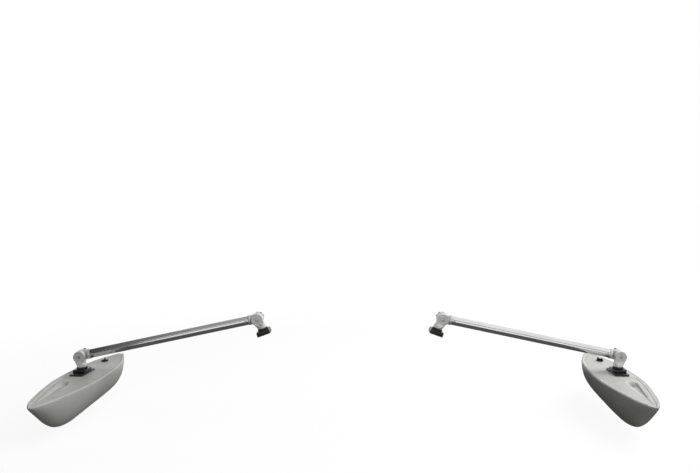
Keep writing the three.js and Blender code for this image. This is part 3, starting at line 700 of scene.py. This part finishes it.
# Float
def catmull_rom(knots, share_at):
    """Centripetal curve through the knots, evaluated where its first coordinate reaches the share."""
    points = [np.array(knot, float) for knot in knots]
    points = [2 * points[0] - points[1], *points, 2 * points[-1] - points[-2]]
    last = len(points) - 3
    at = next(number for number in range(1, last + 1) if number == last or share_at <= points[number + 1][0])
    before, start, end, after = points[at - 1:at + 3]
    pairs = ((before, start), (start, end), (end, after))
    run_in, run, run_out = (np.linalg.norm(second - first) ** 0.5 for first, second in pairs)
    leave = ((start - before) / run_in - (end - before) / (run_in + run) + (end - start) / run) * run
    arrive = ((end - start) / run - (after - start) / (run + run_out) + (after - end) / run_out) * run
    low, high = 0.0, 1.0
    for _ in range(CURVE_HALVINGS):
        share = (low + high) / 2
        value = (start + leave * share + (-3 * start + 3 * end - 2 * leave - arrive) * share * share
                 + (2 * start - 2 * end + leave + arrive) * share ** 3)
        if value[0] < share_at:
            low = share
        else:
            high = share
    return value


def deck_row(forward, half_width):
    """Points across the deck from inboard to outboard, with the panel and the scoop pressed in."""
    border = min(DECK_BORDER, half_width * BORDER_LIMIT)
    rim_width = min(RIM_WIDTH, border)
    rim_height = min(RIM_HEIGHT, rim_width * RIM_HEIGHT_LIMIT)
    panel_edge = half_width - border
    panel_floor = panel_edge - min(PANEL_RUN, half_width * PANEL_RUN_LIMIT)
    panel = -PANEL_DEPTH * smoothstep(forward, PANEL_START, PANEL_RAMP)
    along = min(max((SCOOP_END - forward) / (SCOOP_END - SCOOP_START), 0), 1)
    limit = panel_floor * SCOOP_LIMIT
    wall_top = min(SCOOP_OUTER_WIDTH * along + SCOOP_WALL_RUN / 2, limit)
    wall_foot = wall_top - min(SCOOP_WALL_RUN, limit * SCOOP_FLOOR_SHARE)
    inner_top = max(min(SCOOP_CREST, wall_top - SCOOP_LEAST_WIDTH), -limit)
    floor_inner = wall_foot + (inner_top - wall_foot) * SCOOP_FLOOR_SHARE
    middle = (wall_top + inner_top) / 2
    half = max((wall_top - inner_top) / 2, SCOOP_LEAST_HALF)

    def scoop(across, share):
        """Height at a share of the scoop's depth; the pit is at its full depth from half way down."""
        off = (across - middle) / half
        start = SCOOP_START + SCOOP_START_BEND * off * off
        reach = math.hypot((across - PIT_ACROSS) / PIT_HALF_WIDTH, (forward - PIT_FORWARD) / PIT_HALF_LENGTH)
        pit = PIT_DEPTH * (1 - smoothstep(reach, PIT_FLAT_SHARE, PIT_WALL_SHARE))
        depth = SCOOP_DEPTH * along * share + pit * min(share * 2, 1)
        return panel - depth * smoothstep(forward, start, SCOOP_AFT_RUN)

    def on_rim(across):
        from_edge = half_width - abs(across)
        return 1 - smoothstep(from_edge, rim_width * RIM_TOP_SHARE, rim_width * RIM_SLOPE_SHARE)

    def crown(across):
        fall = max(abs(across - FLOAT_OFFSET) - CROWN_FLAT, 0) / CROWN_RUN
        return CROWN_DEPTH * fall * fall * (1 - on_rim(across))

    # From, to, number of steps, and height from the place across and the share of the way
    spans = [
        (-half_width, -panel_edge, 9, lambda at, share: rim_height * on_rim(at)),
        (-panel_edge, -panel_floor, 6, lambda at, share: panel * smoothstep(share, 0, 1)),
        (-panel_floor, inner_top, 16, lambda at, share: panel),
        (inner_top, floor_inner, 18, lambda at, share: scoop(at, smoothstep(share, 0, 1))),
        (floor_inner, wall_foot, 6, lambda at, share: scoop(at, 1)),
        (wall_foot, wall_top, 10, lambda at, share: scoop(at, 1 - smoothstep(share, 0, 1))),
        (wall_top, panel_floor, 5, lambda at, share: panel),
        (panel_floor, panel_edge, 6, lambda at, share: panel * (1 - smoothstep(share, 0, 1))),
        (panel_edge, half_width, 9, lambda at, share: rim_height * on_rim(at)),
    ]
    points = []
    for start, end, steps, height in spans:
        for step in range(steps):
            share = step / steps
            across = start + (end - start) * share
            points.append((across, height(across, share) - crown(across)))
    return [*points, (half_width, rim_height)]


def float_section(forward, breadth, depth, inward):
    """One closed ring round the float, drawn in from its outline by the rounding of its ends."""
    radius = min(DECK_EDGE_RADIUS, breadth / 2, depth / 2)
    flat = breadth - radius
    narrow = max((flat - inward) / flat, LEAST_NARROWING)
    ring = [(across * narrow, height - inward) for across, height in deck_row(forward, flat)]
    corner = max(radius - inward * DECK_EDGE_SHRINK, LEAST_CORNER)
    centre = (flat * narrow, -inward - corner)
    outer = []
    for step in range(1, DECK_EDGE_STEPS):
        turn = math.pi / 2 * (1 - step / DECK_EDGE_STEPS)
        outer.append((centre[0] + corner * math.cos(turn), centre[1] + corner * math.sin(turn)))
    wide = centre[0] + corner
    low = max(depth - radius - inward, LEAST_SIDE)
    power = 2 / SECTION_ROUNDNESS
    for step in range(SECTION_STEPS):
        turn = math.pi / 2 * step / SECTION_STEPS
        outer.append((wide * math.cos(turn) ** power, centre[1] - low * math.sin(turn) ** power))
    keel = (0, centre[1] - low)
    inner = [(-across, height) for across, height in reversed(outer)]
    return [(across - FLOAT_OFFSET, -forward, height) for across, height in [*ring, *outer, keel, *inner]]


def float_stations():
    """Distances forward of the stem at which the float is drawn, closer where its shape turns fast."""
    stations = [STERN + STERN_ROUND * (1 - math.cos(math.pi / 2 * step / STERN_SPANS))
                for step in range(STERN_SPANS + 1)]
    stations += [BOW - BOW_ROUND * (1 - math.cos(math.pi / 2 * step / BOW_SPANS))
                 for step in range(BOW_SPANS + 1)]
    stations += [PANEL_START + PANEL_RAMP * step / PANEL_RAMP_SPANS for step in range(PANEL_RAMP_SPANS + 1)]
    stations += [SCOOP_START + step * SCOOP_AFT_SPAN for step in range(SCOOP_AFT_STATIONS)]
    even = [STERN + FLOAT_LENGTH * step / FLOAT_SPANS for step in range(1, FLOAT_SPANS)]
    stations += [station for station in even if STERN + STERN_ROUND < station < BOW - BOW_ROUND]
    stations.sort()
    kept = [stations[0]]
    for station in stations[1:]:
        if station - kept[-1] > LEAST_SPAN:
            kept.append(station)
    return kept


def float_shape():
    rings = []
    for forward in float_stations():
        _, breadth, depth = catmull_rom(OUTLINE, (forward - STERN) / FLOAT_LENGTH)
        inward = 0.0
        for distance, radius in ((forward - STERN, STERN_ROUND), (BOW - forward, BOW_ROUND)):
            if distance < radius:
                inward = radius - math.sqrt(max(radius ** 2 - (radius - distance) ** 2, 0))
        breadth = min(breadth, 1) * FLOAT_HALF_BREADTH * WITHIN
        rings.append(float_section(forward, breadth, min(depth, 1) * FLOAT_DEPTH * WITHIN, inward))
    bore = rod(DRAIN_BORE_RADIUS + SEAT_GAP, -DRAIN_BORE_DEPTH, OVERRUN, segments=48)
    mesh = cut(loft(rings), moved(bore, shift(DRAIN_ACROSS, -DRAIN_FORWARD, 0)))
    hole = [(SCREW_HOLE_RADIUS, -DECK_SCREW_REACH), (SCREW_HOLE_RADIUS, OVERRUN)]
    return moved(with_screw_holes(mesh, hole, segments=16), shift(0, 0, -SEAT_GAP))


def drain_place():
    return shift(DRAIN_ACROSS, -DRAIN_FORWARD, -SEAT_GAP)


def seal_shape():
    inner = DRAIN_BORE_RADIUS + SEAT_GAP
    outer = inner + SEAL_WIDTH
    low = SEAT_GAP
    high = low + SEAL_THICKNESS
    loop = rounded([(inner, high), (inner, low), (outer, low), (outer, high), (inner, high)], SEAL_CORNERS)
    return moved(lathe(loop[:-1], segments=56, closed=True), drain_place())


def plug_shape():
    base = SEAL_THICKNESS + 2 * SEAT_GAP
    top = base + DRAIN_FLANGE_HEIGHT
    body_radius = DRAIN_BORE_RADIUS - SEAT_GAP
    # Radius, height, and share of the knurls' depth
    levels = [
        (body_radius, -DRAIN_PLUG_LENGTH, 0), (body_radius, base, 0), (DRAIN_FLANGE_RADIUS - 0.5, base, 0),
        (DRAIN_FLANGE_RADIUS, base + 0.4, 1), (DRAIN_FLANGE_RADIUS, top - 1, 1),
        (DRAIN_FLANGE_RADIUS - 0.5, top - 0.3, 0.5), (DRAIN_FLANGE_RADIUS - 1.4, top, 0),
    ]
    rings = []
    for plain_radius, height, knurl in levels:
        ring = []
        for turn in turns(DRAIN_KNURLS * DRAIN_KNURL_POINTS):
            radius = plain_radius - knurl * (DRAIN_KNURL_DEPTH * max(0, math.cos(DRAIN_KNURLS * turn)))
            ring.append((radius * math.cos(turn), radius * math.sin(turn), height))
        rings.append(ring)
    outline = rounded_rectangle(DRAIN_FIN_LENGTH, DRAIN_FIN_WIDTH, DRAIN_FIN_CORNER, steps=6)
    fin_top = top + DRAIN_FIN_HEIGHT
    fin = slab(outline, top - DRAIN_FIN_OVERLAP, fin_top, DRAIN_FIN_EDGES)
    notch = moved(rod(DRAIN_NOTCH_RADIUS, -DRAIN_FIN_WIDTH, DRAIN_FIN_WIDTH, segments=64),
                  shift(0, 0, fin_top + DRAIN_NOTCH_RADIUS - DRAIN_NOTCH_DEPTH) @ TO_Y)
    fin = with_modifier(cut(fin, notch), "BEVEL", width=DRAIN_FIN_BEVEL * MM, segments=2,
                        limit_method="ANGLE", angle_limit=DRAIN_FIN_BEVEL_ANGLE)
    return joined(loft(rings), fin)


# Node helpers
def feed(tree, socket, value):
    """Links an output to the socket, or sets the socket to a plain value."""
    if isinstance(value, bpy.types.NodeSocket):
        tree.links.new(value, socket)
    else:
        socket.default_value = value


def node(tree, kind, inputs=None, **settings):
    made = tree.nodes.new(kind)
    for name, value in settings.items():
        setattr(made, name, value)
    for name, value in (inputs or {}).items():
        feed(tree, made.inputs[name], value)
    return made


def noise(tree, vector, scale, detail, roughness=0.5):
    made = node(tree, "ShaderNodeTexNoise",
                {"Vector": vector, "Scale": scale, "Detail": detail, "Roughness": roughness})
    return made.outputs["Fac"]


def stretched(tree, vector, scale):
    return node(tree, "ShaderNodeMapping", {"Vector": vector, "Scale": scale}).outputs["Vector"]


def ranged(tree, value, low, high, to_low, to_high):
    made = node(tree, "ShaderNodeMapRange", {
        "Value": value, "From Min": low, "From Max": high, "To Min": to_low, "To Max": to_high})
    return made.outputs["Result"]


def mixed(tree, share, first, second):
    """A mix of two colours, each an output or plain red, green and blue."""
    first, second = ((*colour, 1) if isinstance(colour, tuple) else colour for colour in (first, second))
    # By number, because the node's sockets for numbers, vectors and colours share their names
    return node(tree, "ShaderNodeMix", {0: share, 6: first, 7: second}, data_type="RGBA").outputs[2]


def maths(tree, operation, first, second):
    return node(tree, "ShaderNodeMath", {0: first, 1: second}, operation=operation).outputs[0]


# Finishes: their patterns follow the grain attribute, which is given to each piece as it is placed
def new_material(name, metallic=0):
    material = bpy.data.materials.new(name)
    material.use_nodes = True
    tree = material.node_tree
    shader = tree.nodes["Principled BSDF"]
    shader.inputs["Metallic"].default_value = metallic
    vector = node(tree, "ShaderNodeAttribute", attribute_name="grain").outputs["Vector"]
    return material, tree, shader, vector


def patches(tree, vector, scale, detail, low=0, high=1):
    """Noise whose common values are spread from low to high."""
    return ranged(tree, noise(tree, vector, scale, detail), 0.3, 0.7, low, high)


def edge_wear_and_highlight(tree, colour, sharpness, share, edge_colour):
    """The colour with a share of another on outer edges, from a low to a high sharpness of theirs. This
    stands for wear, and on the float's deck also for a painted highlight along the rim.
    """
    point = node(tree, "ShaderNodeNewGeometry").outputs["Pointiness"]
    edge = ranged(tree, point, *sharpness, 0, 1)
    return mixed(tree, maths(tree, "MULTIPLY", edge, share), colour, edge_colour)


def give_finish(tree, shader, colour, rough, layers):
    """Gives the shader its colour, roughness and bumps, each of these a height, a strength and a distance."""
    tree.links.new(colour, shader.inputs["Base Color"])
    tree.links.new(rough, shader.inputs["Roughness"])
    below = {}
    for height, strength, distance in layers:
        inputs = {"Height": height, "Strength": strength, "Distance": distance, **below}
        below = {"Normal": node(tree, "ShaderNodeBump", inputs).outputs["Normal"]}
    tree.links.new(below["Normal"], shader.inputs["Normal"])


def polyethylene():
    material, tree, shader, vector = new_material("polyethylene")
    cloud = patches(tree, vector, 6, 4)
    colour = mixed(tree, cloud, (0.555, 0.552, 0.535), (0.615, 0.612, 0.592))
    fine = ranged(tree, noise(tree, vector, 160, 3), 0.35, 0.65, 0, 0.22)
    colour = mixed(tree, fine, colour, (0.5, 0.5, 0.485))
    lines = noise(tree, stretched(tree, vector, (190, 26, 240)), 1, 5, 0.6)
    scuff = maths(tree, "MULTIPLY", ranged(tree, lines, 0.66, 0.74, 0, 0.5),
                  ranged(tree, noise(tree, vector, 9, 2), 0.52, 0.66, 0, 1))
    colour = mixed(tree, scuff, colour, (0.7, 0.7, 0.68))
    # Sharp edges, the deck's rim among them, turn much lighter: partly wear, partly a painted highlight along
    # the rim
    colour = edge_wear_and_highlight(tree, colour, (0.503, 0.53), 0.85, (0.8, 0.8, 0.78))
    rough = patches(tree, vector, 22, 4, 0.36, 0.52)
    rough = maths(tree, "ADD", rough, maths(tree, "MULTIPLY", scuff, 0.3))
    give_finish(tree, shader, colour, rough, [
        (noise(tree, vector, 90, 3), 0.18, 0.0012),
        (noise(tree, vector, 900, 2), 0.2, 0.0002),
        (scuff, 0.2, 0.0001),
    ])
    return material


def casting():
    material, tree, shader, vector = new_material("casting", metallic=0.5)
    cloud = patches(tree, vector, 45, 4)
    colour = mixed(tree, cloud, (0.7, 0.7, 0.685), (0.78, 0.78, 0.765))
    pits = ranged(tree, noise(tree, vector, 1300, 2), 0.6, 0.72, 0, 0.5)
    colour = mixed(tree, pits, colour, (0.3, 0.3, 0.29))
    colour = edge_wear_and_highlight(tree, colour, (0.53, 0.62), 0.6, (0.85, 0.85, 0.84))
    give_finish(tree, shader, colour, patches(tree, vector, 120, 4, 0.36, 0.5), [
        (noise(tree, vector, 700, 3), 0.25, 0.0002),
        (noise(tree, vector, 2400, 2), 0.25, 0.0001),
    ])
    return material


def tube_metal():
    material, tree, shader, vector = new_material("tube", metallic=1)
    smudge = ranged(tree, noise(tree, vector, 14, 4), 0.35, 0.7, 0, 1)
    colour = mixed(tree, smudge, (0.76, 0.765, 0.77), (0.83, 0.833, 0.835))
    drawn = noise(tree, stretched(tree, vector, (3, 900, 900)), 1, 3)
    colour = mixed(tree, ranged(tree, drawn, 0.4, 0.7, 0, 0.12), colour, (0.6, 0.605, 0.61))
    rough = maths(tree, "ADD", ranged(tree, smudge, 0, 1, 0.09, 0.15), ranged(tree, drawn, 0.3, 0.7, 0, 0.04))
    scratch = noise(tree, stretched(tree, vector, (60, 1400, 1400)), 1, 2)
    give_finish(tree, shader, colour, rough, [
        (drawn, 0.012, 0.00003),
        (ranged(tree, scratch, 0.68, 0.76, 0, 1), 0.03, 0.00002),
    ])
    return material


def steel():
    material, tree, shader, vector = new_material("steel", metallic=1)
    cloud = patches(tree, vector, 260, 3)
    colour = mixed(tree, cloud, (0.46, 0.463, 0.466), (0.56, 0.563, 0.566))
    rough = patches(tree, vector, 500, 3, 0.24, 0.4)
    give_finish(tree, shader, colour, rough, [(noise(tree, vector, 1800, 2), 0.2, 0.0001)])
    return material


def dark_plastic(name, colours, roughness, grain_scale, shine):
    """Colours are the darkest, the lightest and the one of rubbed edges and specks; roughness is the lowest
    and the highest.
    """
    material, tree, shader, vector = new_material(name)
    shader.inputs["Specular IOR Level"].default_value = shine
    dark, light, edge_colour = colours
    colour = mixed(tree, patches(tree, vector, 70, 4), dark, light)
    speck = ranged(tree, noise(tree, vector, 900, 2), 0.62, 0.72, 0, 0.35)
    colour = mixed(tree, speck, colour, edge_colour)
    colour = edge_wear_and_highlight(tree, colour, (0.52, 0.62), 0.55, edge_colour)
    give_finish(tree, shader, colour, patches(tree, vector, 150, 4, *roughness), [
        (noise(tree, vector, grain_scale, 3), 0.3, 0.0002),
        (noise(tree, vector, 60, 2), 0.1, 0.0006),
    ])
    return material


MATERIALS = {
    "polyethylene": polyethylene(),
    "casting": casting(),
    "tube": tube_metal(),
    "steel": steel(),
    "mount_plastic": dark_plastic(
        "mount_plastic", [(0.006, 0.0065, 0.007), (0.012, 0.0125, 0.0135), (0.045, 0.046, 0.048)],
        (0.2, 0.34), grain_scale=1500, shine=0.5),
    "knob_plastic": dark_plastic(
        "knob_plastic", [(0.008, 0.008, 0.009), (0.015, 0.015, 0.016), (0.05, 0.05, 0.052)],
        (0.5, 0.65), grain_scale=1900, shine=0.2),
    "nylon": dark_plastic(
        "nylon", [(0.01, 0.0105, 0.011), (0.018, 0.0185, 0.02), (0.06, 0.06, 0.06)],
        (0.5, 0.65), grain_scale=1200, shine=0.2),
    "rubber": dark_plastic(
        "rubber", [(0.009, 0.009, 0.009), (0.016, 0.016, 0.016), (0.04, 0.04, 0.04)],
        (0.7, 0.9), grain_scale=2200, shine=0.3),
}


# Placing: one piece for each node, in the node's own place. The grain attribute holds the points of the
# shape before it is placed, shifted from piece to piece so that no two have the same pattern
GRAIN_SHIFT = np.array([0.37, 0.53, 0.71], np.float32)
piece_count = 0


def place(shape, node_name, matrix, side, body, slot, sharp=32):
    """Adds a copy of a shape that replaces a node, rides on its body and has its slot's finish."""
    global piece_count
    mesh = shape.copy()
    own = np.empty(len(mesh.vertices) * 3, np.float32)
    mesh.vertices.foreach_get("co", own)
    piece_count += 1
    attribute = mesh.attributes.new("grain", "FLOAT_VECTOR", "POINT")
    attribute.data.foreach_set("vector", (own.reshape(-1, 3) + GRAIN_SHIFT * piece_count).ravel())
    mirror = Matrix.Diagonal((1 if side == "port" else -1, 1, 1, 1))
    moved(mesh, mirror @ matrix)
    mesh.materials.clear()
    mesh.materials.append(MATERIALS[slot])
    mesh.polygons.foreach_set("use_smooth", [True] * len(mesh.polygons))
    mesh.set_sharp_from_angle(angle=math.radians(sharp))
    mesh.name = f"{node_name}_skin"
    piece = new_object(mesh.name, mesh)
    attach(piece, body)
    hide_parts(node_name)


SHAPES = {
    "base_plate": plate_shape("base"),
    "float_plate": plate_shape("float"),
    "socket": socket_shape(),
    "base_screw": cap_screw_shape(BASE_SCREW_TIP),
    "float_screw": cap_screw_shape(-DECK_SCREW_REACH),
    "lock_ring": lock_ring_shape(),
    "knuckle": knuckle_shape(),
    "fitting": fitting_shape(),
    "tooth_ring": tooth_ring_shape(),
    "tube": tube_shape(),
    "tube_screw": tube_screw_shape(),
    "bolt": bolt_shape(),
    "knob": knob_shape(),
    "hull": float_shape(),
    "plug": plug_shape(),
    "seal": seal_shape(),
}


def dress_mount(side, kind, matrix, body):
    """The plate, socket and screws of the base's or the float's mount."""
    name = f"{side}_{kind}"
    place(SHAPES[f"{kind}_plate"], f"{name}_plate", matrix, side, body, "mount_plastic")
    place(SHAPES["socket"], f"{name}_socket", matrix, side, body, "mount_plastic")
    for number, (x, y) in enumerate(SCREW_PLACES, 1):
        place(SHAPES[f"{kind}_screw"], f"{name}_screw_{number}", matrix @ shift(x, y, 0), side, body, "steel")


def dress_stem(side, kind, end, matrix):
    """The lock ring and knuckle in a mount, and the bolt and knob at that end of the arm."""
    stem_body = f"{side}_{kind}_stem"
    knob = f"{side}_{end}_knob"
    ring_body = f"{side}_{kind}_ring"
    place(SHAPES["lock_ring"], f"{side}_{kind}_lock_ring", matrix, side, ring_body, "mount_plastic")
    place(SHAPES["knuckle"], f"{side}_{kind}_knuckle", matrix, side, stem_body, "casting", sharp=40)
    pivot = matrix @ shift(PIVOT_ACROSS, 0, PIVOT_ABOVE)
    place(SHAPES["bolt"], f"{side}_{end}_pivot_bolt", pivot, side, stem_body, "steel")
    place(SHAPES["knob"], knob, pivot, side, knob, "knob_plastic")


def dress_arm_end(side, end, matrix):
    body = f"{side}_arm"
    place(SHAPES["fitting"], f"{side}_{end}_fitting", matrix, side, body, "casting", sharp=40)
    place(SHAPES["tooth_ring"], f"{side}_{end}_tooth_ring", matrix, side, body, "nylon")
    place(SHAPES["tube_screw"], f"{side}_{end}_tube_screw", matrix, side, body, "steel")


def dress_side(side):
    base = shift(SEAT_SPACING / 2, 0, 0) @ Matrix.Rotation(BASE_SEAT_TILT, 4, "Y")
    dress_mount(side, "base", base, "base_mounts")
    dress_stem(side, "base", "inner", base)
    pivot_from_seat = Vector((PIVOT_ACROSS, 0, PIVOT_ABOVE))
    arm = Matrix.Translation(base @ pivot_from_seat) @ Matrix.Rotation(ARM_DROP, 4, "Y")
    place(SHAPES["tube"], f"{side}_arm_tube", arm, side, f"{side}_arm", "tube", sharp=40)
    dress_arm_end(side, "inner", arm)
    dress_arm_end(side, "outer", arm @ shift(ARM_LENGTH, 0, 0) @ Matrix.Rotation(math.pi, 4, "Y"))
    stem = Matrix.Translation(arm @ Vector((ARM_LENGTH, 0, 0)) - pivot_from_seat)
    dress_stem(side, "float", "outer", stem)
    afloat = stem @ Matrix.Rotation(TOE[side], 4, "Z")
    body = f"{side}_float"
    dress_mount(side, "float", afloat, body)
    place(SHAPES["hull"], f"{side}_float_hull", afloat, side, body, "polyethylene", sharp=50)
    plug = afloat @ drain_place() @ Matrix.Rotation(PLUG_TURN[side], 4, "Z")
    place(SHAPES["plug"], f"{side}_drain_plug", plug, side, f"{side}_drain_plug", "knob_plastic")
    place(SHAPES["seal"], f"{side}_drain_seal", afloat, side, body, "rubber")


dress_side("port")
dress_side("starboard")


# Stage
def seen_directly(tree):
    """1 for camera, glossy and transmission rays, 0 for the rest."""
    path = node(tree, "ShaderNodeLightPath")
    both = maths(tree, "ADD", path.outputs["Is Camera Ray"], path.outputs["Is Glossy Ray"])
    every = maths(tree, "ADD", both, path.outputs["Is Transmission Ray"])
    return maths(tree, "MINIMUM", every, 1)


def level_corners(x_low, x_high, y_low, y_high, height):
    return [(x_low, y_low, height), (x_high, y_low, height),
            (x_high, y_high, height), (x_low, y_high, height)]


def upright_corners(x_low, x_high, low, high):
    return [(x_low, CARD_Y, low), (x_high, CARD_Y, low), (x_high, CARD_Y, high), (x_low, CARD_Y, high)]


def panel_with_nodes(name, corners):
    """A flat panel and the empty node tree of its material."""
    mesh = bpy.data.meshes.new(name)
    mesh.from_pydata(corners, [], [(0, 1, 2, 3)])
    material = bpy.data.materials.new(name)
    material.use_nodes = True
    material.node_tree.nodes.clear()
    mesh.materials.append(material)
    return new_object(name, mesh), material.node_tree


def build_floor(height):
    """A pale floor that takes shade, and glows a little brighter away from the middle of the set."""
    floor, tree = panel_with_nodes(
        "floor", level_corners(-FLOOR_REACH, FLOOR_REACH, -FLOOR_REACH, FLOOR_REACH, height))
    matt = node(tree, "ShaderNodeBsdfDiffuse", {"Color": FLOOR_COLOUR})
    position = node(tree, "ShaderNodeNewGeometry").outputs["Position"]
    away = node(tree, "ShaderNodeVectorMath", {0: position}, operation="LENGTH").outputs["Value"]
    level = ranged(tree, away, *FLOOR_FADE)
    glow = node(tree, "ShaderNodeEmission", {"Strength": maths(tree, "MULTIPLY", seen_directly(tree), level)})
    both = node(tree, "ShaderNodeAddShader", {0: matt.outputs[0], 1: glow.outputs[0]})
    node(tree, "ShaderNodeOutputMaterial", {"Surface": both.outputs[0]})


def build_world():
    world = bpy.data.worlds.new("studio")
    bpy.context.scene.world = world
    world.use_nodes = True
    tree = world.node_tree
    background = tree.nodes["Background"]
    background.inputs["Color"].default_value = (1, 1, 1, 1)
    level = maths(tree, "MAXIMUM", seen_directly(tree), WORLD_STRENGTH)
    tree.links.new(level, background.inputs["Strength"])


def reflection_card(name, corners, level):
    """A card that only shows in reflections, as cards in a studio give polished metal its lines.

    Its level is a number, or fades along x: from x, to x, and the level at each.
    """
    card, tree = panel_with_nodes(name, corners)
    if isinstance(level, tuple):
        position = node(tree, "ShaderNodeNewGeometry").outputs["Position"]
        across = node(tree, "ShaderNodeSeparateXYZ", {"Vector": position}).outputs["X"]
        level = ranged(tree, across, *level)
    glow = node(tree, "ShaderNodeEmission", {"Strength": level})
    node(tree, "ShaderNodeOutputMaterial", {"Surface": glow.outputs[0]})
    card.visible_camera = False
    card.visible_diffuse = False
    card.visible_transmission = False
    card.visible_shadow = False


def area_light(name, place_at, size, power):
    light = bpy.data.lights.new(name, "AREA")
    light.shape = "RECTANGLE"
    light.size, light.size_y = size
    light.energy = power
    lamp = new_object(name, light)
    lamp.visible_glossy = False
    lamp.location = place_at
    lamp.rotation_euler = (Vector(LAMP_AIM) - Vector(place_at)).to_track_quat("-Z", "Y").to_euler()


# The floor lies just below the lowest point that a tilted and swivelled float reaches
floor_height = cad_low.z - FLOOR_DROP
build_floor(floor_height)
build_world()
area_light("key", place_at=(3, 0.9, 2), size=(3.4, 3.4), power=132)
area_light("front", place_at=(0.6, -5, 1.6), size=(3, 1.6), power=62)
area_light("overhead", place_at=(0, 0, 3), size=(3, 2.4), power=20)
low = floor_height + CARD_LIFT
reflection_card("low_card", level_corners(-1.7, 1.7, -1.3, 0.6, low), level=0.09)
corner = [(-12, CARD_Y, low), (-3.95, CARD_Y, low), (-1.35, -1.3, low), (-12, -1.3, low)]
reflection_card("corner_card", corner, level=0.05)
reflection_card("high_card", level_corners(-8, 8, -4, 5, 3.4), level=(-3.8, 0.6, 0.03, 0.92))
reflection_card("far_card", upright_corners(-9, 9, 2, 5), level=(-5.3, -4.9, 0.05, 0.3))
reflection_card("upper_card", upright_corners(-14, -6.2, 5, 9), level=0.08)
reflection_card("side_card", upright_corners(-9, -3.7, -1, 2), level=(-4.15, -3.75, 0.05, 1))

# Camera at the photograph's place
camera_data = bpy.data.cameras.new("camera")
camera_data.sensor_width = SENSOR_WIDTH
camera_data.lens = FOCAL_LENGTH / FRAME_WIDTH * SENSOR_WIDTH
camera = new_object("camera", camera_data)
camera.location = CAMERA_PLACE
pitch = math.atan((FRAME_MIDDLE - HORIZON) / FOCAL_LENGTH)
camera.rotation_euler = (math.pi / 2 - pitch, 0, 0)
bpy.context.scene.camera = camera
bpy.context.scene.view_settings.view_transform = "Standard"
